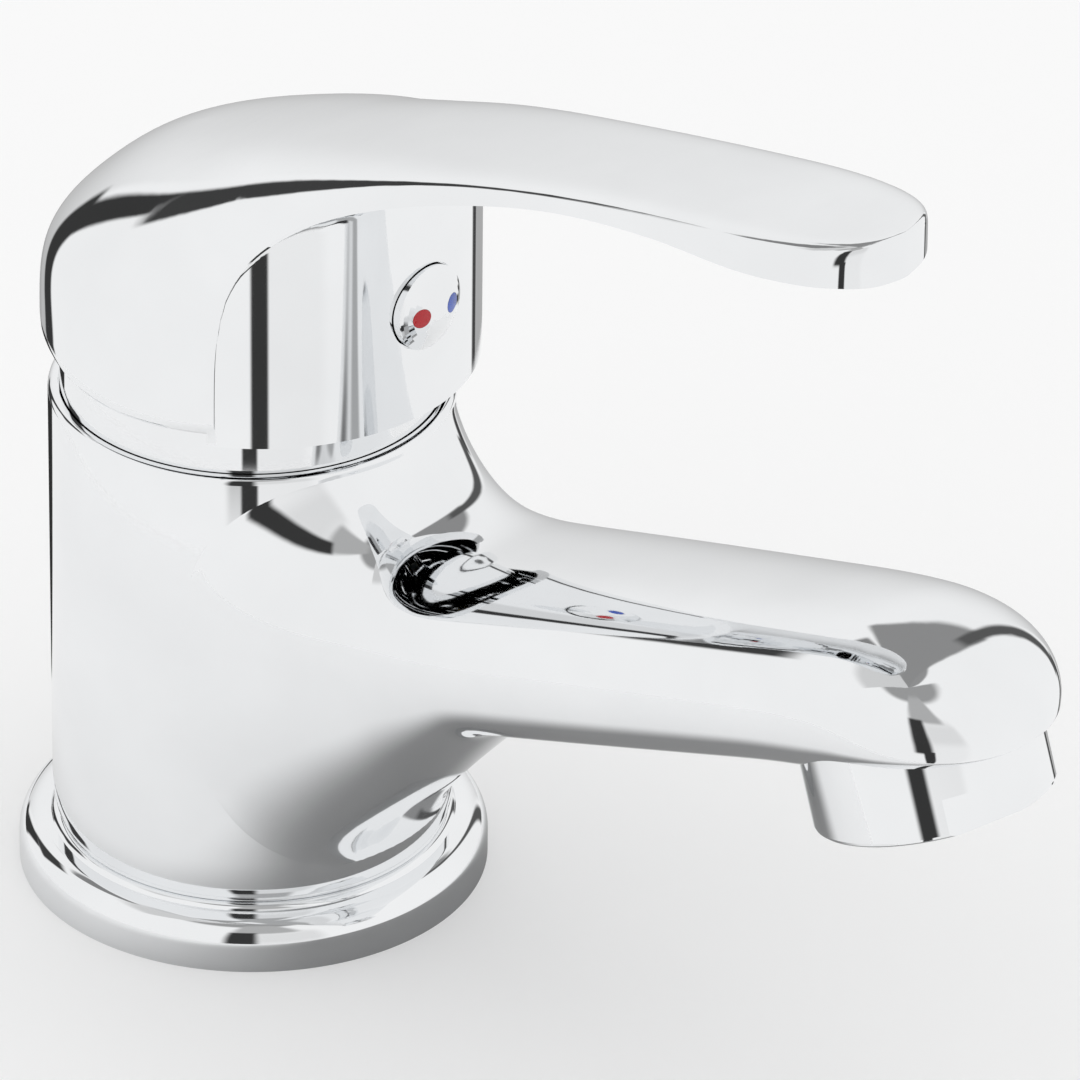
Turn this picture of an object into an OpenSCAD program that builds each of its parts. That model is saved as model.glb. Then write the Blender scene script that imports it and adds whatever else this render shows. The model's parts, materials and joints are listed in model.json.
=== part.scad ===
// Single-lever basin mixer.
// The origin is on the column's axis, on the deck that the mixer stands on.
// The spout points along +X and +Z is up. All lengths are in millimetres and angles in degrees.

/* [Column] */
// Outside diameter of the column
column_d = 46; // [45:0.5:50]
// Height of the column's rim above the deck
column_h = 62; // [62:0.5:68]
// Rounding of the rim's outer edge
rim_round = 0.8; // [0.4:0.1:1]
// How far the column draws in at its foot
foot_tuck = 0.9; // [0.4:0.1:1.4]
// Height over which the column draws in
foot_tuck_h = 5.5; // [4:0.5:8]
// Depth of the cartridge chamber below the rim
chamber_depth = 28; // [28:0.5:29]
// Depth of the threaded mouth of the chamber
mouth_depth = 7; // [6.5:0.5:8]
// Thread diameter of the mouth and of the clamping nut
mouth_thread_d = 38.6; // [38:0.1:39]
// Depth of the ledge that the cap ring stands on
ledge_depth = 2; // [1.5:0.5:2.5]
// Width of the rim left outside that ledge
rim_land = 1.15; // [1:0.05:1.4]

/* [Underside] */
// Thread core diameter of each hose inlet, M10 x 1
inlet_core_d = 9; // [8.8:0.1:9.2]
// Thread core diameter of each fixing stud hole, M6
stud_core_d = 5; // [4.8:0.1:5.2]
// Threaded depth of inlets and stud holes
tapped_depth = 12; // [10:0.5:13]
// Distance of each hose inlet from the column's axis
inlet_offset = 8; // [7.6:0.1:8.2]
// Distance of each stud hole from the column's axis
stud_offset = 12.5; // [12:0.5:13]
// Diameter of the waterway above each inlet
waterway_d = 6.4; // [5.5:0.1:6.6]
// Height of the hollow under the column, above the deck
hollow_z = 6; // [5:0.5:7]
// Diameter of that hollow
hollow_d = 35; // [33:0.5:36]

/* [Base ring] */
// How far the base ring stands out beyond the column
ring_proud = 3.9; // [3.6:0.1:5]
// Height of the seat on which the column stands
ring_seat_z = 6.4; // [6:0.2:7]
// Radius of the ring's rounded outer edge
ring_roll = 2.9; // [2.4:0.1:3.1]
// Radius of the small bead next to the column
bead_r = 1.1; // [0.9:0.1:1.2]
// Outside diameter of the column's spigot inside the ring
spigot_d = 40.2; // [39:0.2:41]
// Thickness of the rubber base gasket
gasket_t = 2; // [1.5:0.5:2.5]
// Outside diameter of the base gasket
gasket_d = 48; // [46:0.5:49]
// Hole through the base gasket, for the hoses and studs
gasket_hole_d = 33; // [31:0.5:34]

/* [Spout] */
// Rise of the spout above the horizontal
spout_rise = 16.6; // [15:0.2:17]
// Height at which the spout's centreline meets the column's axis
spout_z = 33.4; // [33:0.2:34.4]
// Width of the spout
spout_w = 32.4; // [31:0.2:33]
// Height of the spout where it leaves the column
spout_root_t = 21.3; // [20.5:0.1:22]
// Height of the spout above its outlet
spout_nose_t = 18.3; // [17.5:0.1:18.8]
// Squareness of the spout's section, where 2 is an ellipse
spout_square = 2.6; // [2.3:0.1:3]
// Reach of the nose from the column's axis
nose_reach = 113.2; // [113:0.2:115]
// Width of the spout where its nose begins
nose_w = 29.4; // [29:0.2:31]
// Length over which the nose rounds off, seen from above
nose_plan_len = 16; // [15:0.5:17]
// Length over which the nose rounds off, seen from the side
nose_side_len = 21; // [20:0.5:22]
// How far the nose bows down below the spout's line
nose_drop = 6.7; // [6:0.1:7]
// Radial length of the fillet above the spout
fillet_top_len = 15; // [14:0.5:16]
// Height of that fillet
fillet_top = 12.7; // [12:0.1:13.2]
// Radial length of the web below the spout
web_len = 20; // [18:0.5:21]
// Height of that web
web_h = 21; // [19:0.5:22]
// Radial length of the fillet beside the spout
fillet_side_len = 10; // [9:0.5:11]
// Width of that fillet
fillet_side = 11.8; // [11:0.1:12.5]

/* [Outlet] */
// Distance of the outlet's mouth behind the tip of the nose
outlet_setback = 12.9; // [12.4:0.1:13.6]
// Depth of the outlet's mouth below the spout's centreline
outlet_drop = 13.5; // [13:0.1:14]
// Lean of the outlet away from the column
outlet_lean = 18; // [16:0.5:19]
// Outside diameter of the outlet collar
collar_d = 27; // [26.5:0.1:27.4]
// Length of the collar below its shoulder
collar_len = 10.5; // [10:0.5:11]
// Thread diameter of the collar, M24 x 1
collar_thread_d = 24; // [23.6:0.1:24.2]
// Length of the collar's thread
collar_thread_len = 4; // [3.5:0.5:4.5]
// Distance between the two spanner flats
flats_w = 25; // [24.6:0.1:25.6]
// Height of the spanner flats
flats_h = 4.5; // [4:0.5:5.5]
// Turn of the flats about the outlet's axis
flats_turn = -20; // [-90:1:90]
// Depth of the collar's mouth below the flow straightener
mouth_recess = 3; // [2:0.5:4]
// Thickness of the outlet washer
outlet_washer_t = 2; // [1.5:0.5:2.5]

/* [Handle] */
// Diameter of the handle's skirt
skirt_d = 50; // [49.4:0.2:52]
// Distance of the skirt's axis in front of the column's axis
skirt_shift = 1.6; // [1:0.1:2]
// Height of the skirt's lower edge above the column's rim
skirt_gap = 5.5; // [5.3:0.1:6.5]
// How much higher the skirt's edge is at the back
skirt_back_rise = 3.5; // [3.2:0.1:5]
// Wall of the skirt
skirt_wall = 2; // [1.8:0.1:2.3]
// Reach of the lever's tip from the column's axis
lever_reach = 94; // [90:0.5:102]
// Width of the lever near its tip
lever_w = 20.9; // [19:0.1:22]
// Height of the crown above the skirt's edge, where it turns down to the back
dome_back_h = 25.4; // [25:0.1:26.4]
// Place of that turn along the spout's direction
dome_back_x = -6.2; // [-7.4:0.2:-5]
// Height of the lever's tip above the skirt's edge
lever_tip_h = 48; // [46:0.5:51]
// Thickness of the lever's tip
lever_tip_t = 5.5; // [4.8:0.1:6]

/* [Cartridge] */
// Outside diameter of the cartridge
cartridge_d = 35; // [34.8:0.1:35.2]
// Height of the stem's pivot below the column's rim
pivot_drop = 2; // [1.5:0.5:2.5]
// Forward lean of the stem with the tap shut
stem_lean = 12.5; // [11:0.5:13]
// Thickness of the square stem
stem_w = 8; // [7.6:0.1:8.2]
// Length of the stem above its pivot
stem_top = 31; // [30:0.5:31.5]
// Length of the stem below its pivot, to the centre of its ball
stem_tail = 12; // [11.8:0.1:12.2]
// Diameter of the ball at the stem's foot
ball_d = 5.6; // [5:0.1:6]
// Diameter of the stem's pivot pin
pin_d = 3; // [2.8:0.1:3.2]
// Thickness of the cartridge's base
cart_base_t = 6; // [5.8:0.1:6.2]
// Thickness of each ceramic disc
disc_t = 3; // [2.8:0.1:3.1]
// Diameter of the fixed ceramic disc
fixed_disc_d = 27; // [26.4:0.2:28]
// Diameter of the moving ceramic disc
moving_disc_d = 20.8; // [20:0.2:21]
// Distance of the outlet port behind the cartridge's axis
port_offset = 9; // [8.8:0.1:9.2]
// Diameter of the ports through the cartridge
port_d = 6; // [5.4:0.2:6.4]

/* [Trim] */
// Diameter of the index plug's head
plug_d = 10; // [9.4:0.1:10.4]
// Height of the index plug above the skirt's lower edge
plug_h = 13.6; // [13:0.1:14.5]
// How far the plug's domed head stands out
plug_dome = 1.5; // [1.2:0.1:1.8]
// Diameter of each coloured mark
mark_d = 2.3; // [1.8:0.1:2.6]
// Distance of each mark from the plug's centre
mark_offset = 2.5; // [2.2:0.1:2.9]
// Thread diameter of the grub screw, M6
grub_d = 6; // [5.8:0.1:6]
// Length of the grub screw
grub_len = 8; // [7:0.5:9]

/* [Fits] */
// Radial clearance of a running fit
run_fit = 0.05; // [0.03:0.01:0.08]
// Radial clearance of a loose fit
loose_fit = 0.15; // [0.1:0.01:0.2]
// Air gap kept between separate castings
air_gap = 0.3; // [0.3:0.05:0.4]

/* [Hidden] */

round_fn = 96;
small_fn = 48;
eps = 0.01;

column_r = column_d / 2;
chamber_floor_z = column_h - chamber_depth;
mouth_r = mouth_thread_d / 2;
ledge_r = column_r - rim_land;
cartridge_r = cartridge_d / 2;
pivot_z = column_h - pivot_drop;
skirt_z = column_h + skirt_gap;
skirt_r = skirt_d / 2;
ring_r = column_r + ring_proud;
chrome = [0.80, 0.81, 0.83];
brass = [0.80, 0.66, 0.36];
ceramic = [0.93, 0.93, 0.90];
acetal = [0.88, 0.88, 0.86];
rubber = [0.12, 0.12, 0.13];

// ---- general helpers ----

// Smooth rise from z0 to z1 over a run, with given slopes at both ends, at share t of the way
function ramp(z0, z1, run, slope0, slope1, t) =
    (2 * t * t * t - 3 * t * t + 1) * z0 + (t * t * t - 2 * t * t + t) * run * slope0
        + (3 * t * t - 2 * t * t * t) * z1 + (t * t * t - t * t) * run * slope1;

// Slope of column c of a table at row i
function slope_in(table, c, i) =
    let (a = max(i - 1, 0), b = min(i + 1, len(table) - 1))
    (table[b][c] - table[a][c]) / (table[b][0] - table[a][0]);

// Value of column c of a table on a smooth curve through its rows, at x in the first column
function value_at(table, c, x, i = 0) =
    i < len(table) - 2 && x > table[i + 1][0] ? value_at(table, c, x, i + 1)
    : let (run = table[i + 1][0] - table[i][0], t = min(1, max(0, (x - table[i][0]) / run)))
    ramp(table[i][c], table[i + 1][c], run, slope_in(table, c, i), slope_in(table, c, i + 1), t);

// A power that keeps the sign of its base
function signed_pow(x, p) = sign(x) * pow(abs(x), p);

// An annular slice from radius r0 to r1 and from height z0 to z1
module tube(r0, r1, z0, z1, fn = round_fn) {
    rotate_extrude($fn = fn)
        translate([r0, z0])
            square([r1 - r0, z1 - z0]);
}

// ---- column and spout ----

fillet_sink = 0.2;
fillet_steps = 12;
trunk_steps = 5;
nose_steps = 12;
loft_sides = 56;
web_power = 0.46;
nose_plan_round = 2.1;
nose_top_round = 2;
nose_under_round = 1.2;
nose_square = 2.4;
nose_bow_len = 28;
nose_start = nose_reach - nose_side_len;
outlet_reach = nose_reach - outlet_setback;
root_len = max(web_len, fillet_top_len, fillet_side_len);
root_end = column_r + root_len;

// How far distance d lies along a fillet of length len, from 0 at the column to 1
function fillet_t(d, len) = min(1, max(0, (d - column_r + fillet_sink) / (len + fillet_sink)));

// Share of such a fillet's height that is left at distance d
function fillet_share(d, len) = 1 - sqrt(1 - pow(1 - fillet_t(d, len), 2));

// Share of the way from the column to the nose, for a distance d
function trunk_share(d) = (d - column_r) / (nose_start - column_r);

// Half the spout's height and half its width at distance d, before fillets and nose
function half_height(d) = (spout_root_t + (spout_nose_t - spout_root_t) * trunk_share(d)) / 2;
function half_width(d) =
    (spout_w + (nose_w - spout_w) * min(1, max(0, (d - root_end) / (outlet_reach - root_end)))) / 2;

// How much of the section is left at distance d along a nose of a given length and roundness
function nose_share(d, len, roundness) =
    let (f = max(0, (d - nose_reach + len) / len))
    pow(max(0, 1 - pow(f, roundness)), 1 / roundness);

// Height of the spout's centreline at distance d from the column's axis
function spine_z(d) =
    spout_z + d * tan(spout_rise)
        - nose_drop * pow(max(0, (d - nose_reach + nose_bow_len) / nose_bow_len), 2);

// Squareness of the section at distance d
function section_square(d) =
    spout_square + (nose_square - spout_square) * min(1, max(0, trunk_share(d) * 2 - 1));

// A point on the spout's skin, at distance d and at angle a round the section
function spout_point(d, a) =
    let (
        p = 2 / section_square(d),
        half_w = half_width(d) * nose_share(d, nose_plan_len, nose_plan_round)
            + fillet_side * fillet_share(d, fillet_side_len),
        above = half_height(d) * nose_share(d, nose_side_len, nose_top_round)
            + fillet_top * fillet_share(d, fillet_top_len),
        under = half_height(d) * nose_share(d, nose_side_len, nose_under_round)
            + web_h * pow(fillet_share(d, web_len), web_power),
        u = half_w * signed_pow(cos(a), p),
        z = spine_z(d) + (sin(a) > 0 ? above : under) * signed_pow(sin(a), p),
        wrap = 1 - fillet_t(d, root_len),
        theta = u / d * 180 / PI,
        rim_z = column_h - rim_round - fillet_sink
    )
    [
        wrap * d * cos(theta) + (1 - wrap) * d,
        wrap * d * sin(theta) + (1 - wrap) * u,
        min(z, rim_z) + max(0, z - rim_z) * min(1, fillet_t(d, fillet_top_len) * fillet_steps)
    ];

// Distances of the spout's sections from the column's axis
function spout_stations() = concat(
    [for (i = [0 : fillet_steps - 1])
        column_r - fillet_sink + (root_len + fillet_sink) * (1 - cos(90 * i / fillet_steps))],
    [for (i = [0 : trunk_steps - 1]) root_end + (nose_start - root_end) * i / trunk_steps],
    [for (i = [0 : nose_steps - 1]) nose_start + nose_side_len * sin(90 * i / nose_steps)]
);

// The spout's skin, closed at the nose and inside the column
module spout_skin() {
    stations = spout_stations();
    rings = len(stations);
    n = loft_sides;
    skin = [for (d = stations) for (i = [0 : n - 1]) spout_point(d, 360 * i / n)];
    nose_tip = [nose_reach, 0, spine_z(nose_reach)];
    heel = [column_r - mouth_relief, 0, spine_z(column_r)];
    walls = [for (k = [0 : rings - 2]) for (i = [0 : n - 1])
        let (a = k * n + i, b = k * n + (i + 1) % n)
        each [[a, a + n, b], [b, a + n, b + n]]];
    front = [for (i = [0 : n - 1])
        [(rings - 1) * n + i, rings * n, (rings - 1) * n + (i + 1) % n]];
    back = [for (i = [0 : n - 1]) [i, (i + 1) % n, rings * n + 1]];
    polyhedron(concat(skin, [nose_tip, heel]), concat(walls, front, back), convexity = 6);
}

// The column, with its foot drawn in and its rim rounded
module column() {
    foot = [for (a = [0 : 15 : 90])
        [column_r - foot_tuck * (1 - sin(a)), ring_seat_z + foot_tuck_h * (1 - cos(a))]];
    rim = [for (a = [0 : 15 : 90])
        [column_r - rim_round * (1 - cos(a)), column_h - rim_round * (1 - sin(a))]];
    rotate_extrude($fn = round_fn)
        polygon(concat(
            [[0, gasket_t], [spigot_d / 2, gasket_t], [spigot_d / 2, ring_seat_z]],
            foot, rim, [[0, column_h]]));
}

// ---- waterways inside the casting ----

mouth_relief = 0.5;
core_wall = 4.2;
core_half_w = 6;
feed_z = 24;
feed_d = 5.6;
elbow_x = 12;
weir_d = 4.4;
outlet_z = spine_z(outlet_reach) - outlet_drop;
socket_top = collar_len + collar_thread_len + outlet_washer_t;
plenum_d = 17;
plenum_h = 2.8;
core_taper = 2;
core_fn = 24;
weir_lift = 2;
drill_overlap = 2;
elbow_relief = 0.4;

// Places its children in the outlet's own frame: the mouth at zero, the axis up into the spout
module at_outlet() {
    translate([outlet_reach, 0, outlet_z])
        rotate([0, -outlet_lean, 0])
            children();
}

// A drilling of diameter d between two points in the plane of the spout
module drilling(p, q, d) {
    run = q - p;
    translate(p)
        rotate([0, atan2(run[0], run[2]), 0])
            cylinder(d = d, h = norm(run), $fn = small_fn);
}

// A flat rounded core between two distances along the spout, raised by lift
module flat_core(d0, z0, d1, z1, thickness) {
    hull() {
        for (side = [-1, 1]) {
            translate([d0, side * core_half_w, z0])
                sphere(d = thickness, $fn = core_fn);
            translate([d1, side * core_half_w, z1])
                sphere(d = thickness, $fn = core_fn);
        }
    }
}

module spout_waterway() {
    core_t = spout_nose_t - core_wall;
    core_start = column_r + core_wall;
    core_end = nose_start - core_wall * 2;
    plenum_at = [
        outlet_reach - (socket_top + plenum_h / 2) * sin(outlet_lean),
        outlet_z + (socket_top + plenum_h / 2) * cos(outlet_lean)
    ];
    flat_core(core_start, spine_z(core_start), core_end, spine_z(core_end), core_t - core_taper);
    flat_core(core_end, spine_z(core_end) + weir_lift, plenum_at[0] - weir_d,
        plenum_at[1] - weir_lift / 2, weir_d);
    drilling([-port_offset, 0, feed_z], [elbow_x + drill_overlap, 0, feed_z], feed_d);
    drilling([elbow_x, 0, feed_z], [core_start + drill_overlap, 0, spine_z(core_start)],
        feed_d - elbow_relief);
    translate([-port_offset, 0, feed_z - feed_d / 2])
        cylinder(d = port_d, h = chamber_floor_z - feed_z + feed_d / 2 + eps, $fn = small_fn);
}

// The threaded socket for the outlet collar, its washer seat and the plenum above
module outlet_socket() {
    at_outlet() {
        translate([0, 0, -collar_len])
            cylinder(d = collar_d + 2 * loose_fit, h = 2 * collar_len, $fn = round_fn);
        cylinder(d = collar_thread_d + 2 * run_fit, h = socket_top, $fn = round_fn);
        cylinder(d = plenum_d, h = socket_top + plenum_h, $fn = round_fn);
    }
}

// Tapped inlets with their waterways, tapped stud holes and the hollow that they open into
module underside_holes() {
    translate([0, 0, gasket_t - eps])
        cylinder(d = hollow_d, h = hollow_z - gasket_t + eps, $fn = round_fn);
    for (side = [-1, 1]) {
        translate([0, side * inlet_offset, hollow_z - eps])
            cylinder(d = inlet_core_d, h = tapped_depth + eps, $fn = small_fn);
        translate([0, side * inlet_offset, hollow_z])
            cylinder(d = waterway_d, h = chamber_floor_z - hollow_z + eps, $fn = small_fn);
        translate([side * stud_offset, 0, hollow_z - eps])
            cylinder(d = stud_core_d, h = tapped_depth + eps, $fn = small_fn);
    }
}

// Chamber for the cartridge, its threaded mouth, and the ledge for the cap ring
module cartridge_chamber() {
    translate([0, 0, chamber_floor_z])
        cylinder(r = cartridge_r + loose_fit, h = chamber_depth + eps, $fn = round_fn);
    translate([0, 0, column_h - mouth_depth - mouth_relief])
        cylinder(r = mouth_r, h = mouth_depth + mouth_relief + eps, $fn = round_fn);
    translate([0, 0, column_h - ledge_depth])
        cylinder(r = ledge_r, h = ledge_depth + eps, $fn = round_fn);
    for (side = [-1, 1])
        translate([peg_x, side * peg_y, chamber_floor_z - peg_h - air_gap])
            cylinder(d = peg_d + 2 * loose_fit, h = peg_h + air_gap + eps, $fn = small_fn);
}

module body() {
    color(chrome)
        difference() {
            union() {
                column();
                spout_skin();
            }
            cartridge_chamber();
            underside_holes();
            spout_waterway();
            outlet_socket();
        }
}

// ---- base ----

// Chrome ring under the column: a rolled edge, a small bead, and a recess for the gasket
module base_ring() {
    seat_r = column_r - foot_tuck;
    bead_x = seat_r + loose_fit;
    roll_x = ring_r - ring_roll;
    bead = [for (a = [90 : -15 : 30])
        [bead_x + bead_r * cos(a), ring_seat_z - bead_r + bead_r * sin(a)]];
    roll = [for (a = [90 : -10 : 0])
        [roll_x + ring_roll * cos(a), ring_roll * (1 + sin(a))]];
    color(chrome)
        rotate_extrude($fn = round_fn)
            polygon(concat(
                [[spigot_d / 2 + loose_fit, gasket_t], [spigot_d / 2 + loose_fit, ring_seat_z]],
                bead, roll,
                [[ring_r, 0], [gasket_d / 2 + loose_fit, 0], [gasket_d / 2 + loose_fit, gasket_t]]));
}

module base_gasket() {
    color(rubber)
        tube(gasket_hole_d / 2, gasket_d / 2, 0, gasket_t);
}

// ---- cartridge ----

peg_d = 3;
peg_h = 2.4;
peg_x = 9;
peg_y = 8;
seal_wall = 1.4;
seal_t = 1.6;
disc_seat = 1.5;
housing_wall = 1.9;
neck_wall = 1.4;
rotor_r = 13.35;
flange_t = 2.2;
carrier_t = 6;
carrier_floor = 0.5;
pocket_d = 12;
pocket_shift = -2.9;
pocket_depth = 1.2;
disc_film = 0.02;
fixed_disc_z = chamber_floor_z + cart_base_t - disc_seat;
moving_disc_z = fixed_disc_z + disc_t + disc_film;
carrier_z = moving_disc_z + disc_t;
rotor_z = carrier_z + carrier_t + air_gap;
rotor_top = pivot_z + pin_d;
housing_z = chamber_floor_z + cart_base_t;
shoulder_z = column_h - mouth_depth;
disc_shift = -stem_tail * sin(stem_lean);
ports = [[0, inlet_offset], [0, -inlet_offset], [-port_offset, 0]];

module cartridge_base() {
    color(acetal)
        difference() {
            union() {
                translate([0, 0, chamber_floor_z])
                    cylinder(r = cartridge_r, h = cart_base_t, $fn = round_fn);
                for (side = [-1, 1])
                    translate([peg_x, side * peg_y, chamber_floor_z - peg_h])
                        cylinder(d = peg_d, h = peg_h + eps, $fn = small_fn);
            }
            translate([0, 0, fixed_disc_z])
                cylinder(d = fixed_disc_d + 2 * run_fit, h = disc_seat + eps, $fn = round_fn);
            for (p = ports) {
                translate([p[0], p[1], chamber_floor_z - eps])
                    cylinder(d = port_d, h = cart_base_t, $fn = small_fn);
                translate([p[0], p[1], chamber_floor_z - eps])
                    cylinder(d = port_d + 2 * seal_wall + 2 * run_fit, h = seal_t + eps, $fn = small_fn);
            }
        }
}

// Three rubber rings that seal the ports against the chamber's floor
module port_seals() {
    color(rubber)
        for (p = ports)
            translate([p[0], p[1], chamber_floor_z])
                tube(port_d / 2, port_d / 2 + seal_wall, 0, seal_t, small_fn);
}

module fixed_disc() {
    color(ceramic)
        difference() {
            translate([0, 0, fixed_disc_z])
                cylinder(d = fixed_disc_d, h = disc_t, $fn = round_fn);
            for (p = ports)
                translate([p[0], p[1], fixed_disc_z - eps])
                    cylinder(d = port_d, h = disc_t + 2 * eps, $fn = small_fn);
        }
}

// Slides and turns on the fixed disc; the pocket in its underside joins the ports
module moving_disc() {
    color(ceramic)
        translate([disc_shift, 0, moving_disc_z])
            difference() {
                cylinder(d = moving_disc_d, h = disc_t, $fn = round_fn);
                translate([pocket_shift, 0, -eps])
                    cylinder(d = pocket_d, h = pocket_depth + eps, $fn = small_fn);
            }
}

module disc_carrier() {
    color(acetal)
        translate([disc_shift, 0, carrier_z])
            difference() {
                cylinder(d = moving_disc_d, h = carrier_t, $fn = round_fn);
                translate([0, 0, carrier_floor])
                    cylinder(d = ball_d + 2 * loose_fit, h = carrier_t, $fn = small_fn);
            }
}

// Plastic shell of the cartridge: a skirt round the discs and a neck round the rotor
module cartridge_housing() {
    cavity_r = cartridge_r - housing_wall;
    neck_r = rotor_r + run_fit;
    ceiling_z = rotor_z + flange_t + 2 * run_fit;
    color(acetal)
        rotate_extrude($fn = round_fn)
            polygon([
                [cavity_r, housing_z], [cartridge_r, housing_z], [cartridge_r, shoulder_z],
                [neck_r + neck_wall, shoulder_z], [neck_r + neck_wall, rotor_top],
                [neck_r, rotor_top], [neck_r, ceiling_z], [cavity_r, ceiling_z]
            ]);
}

seal_groove_z = shoulder_z + 0.5;
seal_groove_h = 1.6;
seal_groove_depth = 1.2;

// Turns in the housing's neck and carries the stem's pivot pin
module cartridge_rotor() {
    slot_l = 15;
    color(acetal)
        difference() {
            rotate_extrude($fn = round_fn)
                polygon([
                    [0, rotor_z],
                    [cartridge_r - housing_wall - loose_fit, rotor_z],
                    [cartridge_r - housing_wall - loose_fit, rotor_z + flange_t],
                    [rotor_r, rotor_z + flange_t], [rotor_r, seal_groove_z],
                    [rotor_r - seal_groove_depth, seal_groove_z],
                    [rotor_r - seal_groove_depth, seal_groove_z + seal_groove_h],
                    [rotor_r, seal_groove_z + seal_groove_h], [rotor_r, rotor_top], [0, rotor_top]
                ]);
            translate([-slot_l / 2, -stem_w / 2 - loose_fit, rotor_z - eps])
                cube([slot_l, stem_w + 2 * loose_fit, rotor_top - rotor_z + 2 * eps]);
            translate([0, -rotor_r - eps, pivot_z])
                rotate([-90, 0, 0])
                    cylinder(d = pin_d + 2 * run_fit, h = 2 * rotor_r + 2 * eps, $fn = small_fn);
        }
}

module rotor_seal() {
    color(rubber)
        tube(rotor_r - seal_groove_depth + run_fit, rotor_r + run_fit / 2,
            seal_groove_z + run_fit, seal_groove_z + seal_groove_h - run_fit);
}

module stem_pin() {
    pin_len = 2 * rotor_r - 1;
    color(brass)
        translate([0, -pin_len / 2, pivot_z])
            rotate([-90, 0, 0])
                cylinder(d = pin_d, h = pin_len, $fn = small_fn);
}

// Places its children in the stem's own frame: the pivot at zero and the stem along +Z
module at_stem() {
    translate([0, 0, pivot_z])
        rotate([0, stem_lean, 0])
            children();
}

// Square brass stem that the handle clamps, with a ball that drives the carrier
module cartridge_stem() {
    neck_d = ball_d * 0.78;
    hub = stem_w / 2;
    color(brass)
        at_stem()
            difference() {
                union() {
                    translate([-stem_w / 2, -stem_w / 2, -hub])
                        cube([stem_w, stem_w, hub + stem_top]);
                    translate([0, 0, -stem_tail])
                        cylinder(d = neck_d, h = stem_tail - hub + eps, $fn = small_fn);
                    translate([0, 0, -stem_tail])
                        sphere(d = ball_d, $fn = small_fn);
                }
                translate([0, -stem_w, 0])
                    rotate([-90, 0, 0])
                        cylinder(d = pin_d + 2 * run_fit, h = 2 * stem_w, $fn = small_fn);
            }
}

// ---- clamping nut and cap ring ----

nut_bore_r = rotor_r + neck_wall + 0.4;
nut_collar_h = 3;
nut_hex_h = 3;
cap_wall = 1.4;
cap_r = ledge_r - loose_fit;
cap_bore_r = cap_r - cap_wall;
cap_band_h = 4.8;
cap_shoulder = 2.2;
cap_seal_t = 1.2;
cap_groove_r = cap_bore_r - 1.6;
cap_groove_z = column_h + 0.8;
nut_gap = 1;

// Brass nut that holds the cartridge down, with a grooved collar and a hexagon on top
module cartridge_nut() {
    collar_r = cap_bore_r - nut_gap;
    hex_r = collar_r - nut_gap / 2;
    groove_top_z = cap_groove_z + cap_seal_t + 2 * run_fit;
    color(brass)
        difference() {
            union() {
                rotate_extrude($fn = round_fn)
                    polygon([
                        [0, shoulder_z], [mouth_r - loose_fit, shoulder_z],
                        [mouth_r - loose_fit, column_h - ledge_depth],
                        [collar_r, column_h - ledge_depth],
                        [collar_r, cap_groove_z], [cap_groove_r, cap_groove_z],
                        [cap_groove_r, groove_top_z], [collar_r, groove_top_z],
                        [collar_r, column_h + nut_collar_h], [0, column_h + nut_collar_h]
                    ]);
                translate([0, 0, column_h + nut_collar_h - eps])
                    cylinder(r = hex_r, h = nut_hex_h + eps, $fn = 6);
            }
            translate([0, 0, shoulder_z - eps])
                cylinder(r = nut_bore_r, h = column_h, $fn = round_fn);
        }
}

// Rubber ring in the nut's groove that grips the cap ring
module cap_seal() {
    color(rubber)
        tube(cap_groove_r + run_fit, cap_bore_r - run_fit,
            cap_groove_z + run_fit, cap_groove_z + run_fit + cap_seal_t);
}

// Chrome ring between column and handle, with a low roof round the cartridge's neck
module cap_ring() {
    seat_z = column_h - ledge_depth;
    band_z = column_h + cap_band_h;
    roof_r = nut_bore_r + 2 * air_gap;
    ceiling_z = column_h + nut_collar_h + nut_hex_h + air_gap;
    shoulder = [for (a = [0 : 15 : 90])
        [cap_r - cap_shoulder * (1 - cos(a)), band_z + (ceiling_z + cap_wall - band_z) * sin(a)]];
    color(chrome)
        rotate_extrude($fn = round_fn)
            polygon(concat(
                [[cap_bore_r, seat_z], [cap_r, seat_z]],
                shoulder,
                [[roof_r, ceiling_z + cap_wall], [roof_r, ceiling_z],
                    [cap_bore_r - nut_gap, ceiling_z], [cap_bore_r, band_z]]));
}

// ---- outlet ----

thread_wall = 1.5;
insert_r = collar_thread_d / 2 - thread_wall;
lip_r = insert_r - 1;
collar_edge = 0.5;
straightener_t = 4;
screen_t = 1;
cup_wall = 0.8;
shoulder_top = collar_len + collar_thread_len;

// Threaded chrome collar with two spanner flats; the insert rests on the lip at its mouth
module outlet_collar() {
    half = collar_d / 2;
    thread_r = collar_thread_d / 2;
    edge = [for (a = [-90 : 30 : 0])
        [half - collar_edge + collar_edge * cos(a), collar_edge * (1 + sin(a))]];
    color(chrome)
        at_outlet()
            difference() {
                rotate_extrude($fn = round_fn)
                    polygon(concat(
                        [[lip_r + collar_edge, 0]], edge,
                        [[half, collar_len], [thread_r, collar_len], [thread_r, shoulder_top],
                            [insert_r, shoulder_top], [insert_r, mouth_recess],
                            [lip_r, mouth_recess], [lip_r, collar_edge]]));
                rotate([0, 0, flats_turn])
                    for (side = [-1, 1])
                        translate([side * (flats_w / 2 + collar_d / 2), 0, flats_h / 2 - eps])
                            cube([collar_d, collar_d, flats_h], center = true);
            }
}

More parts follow.
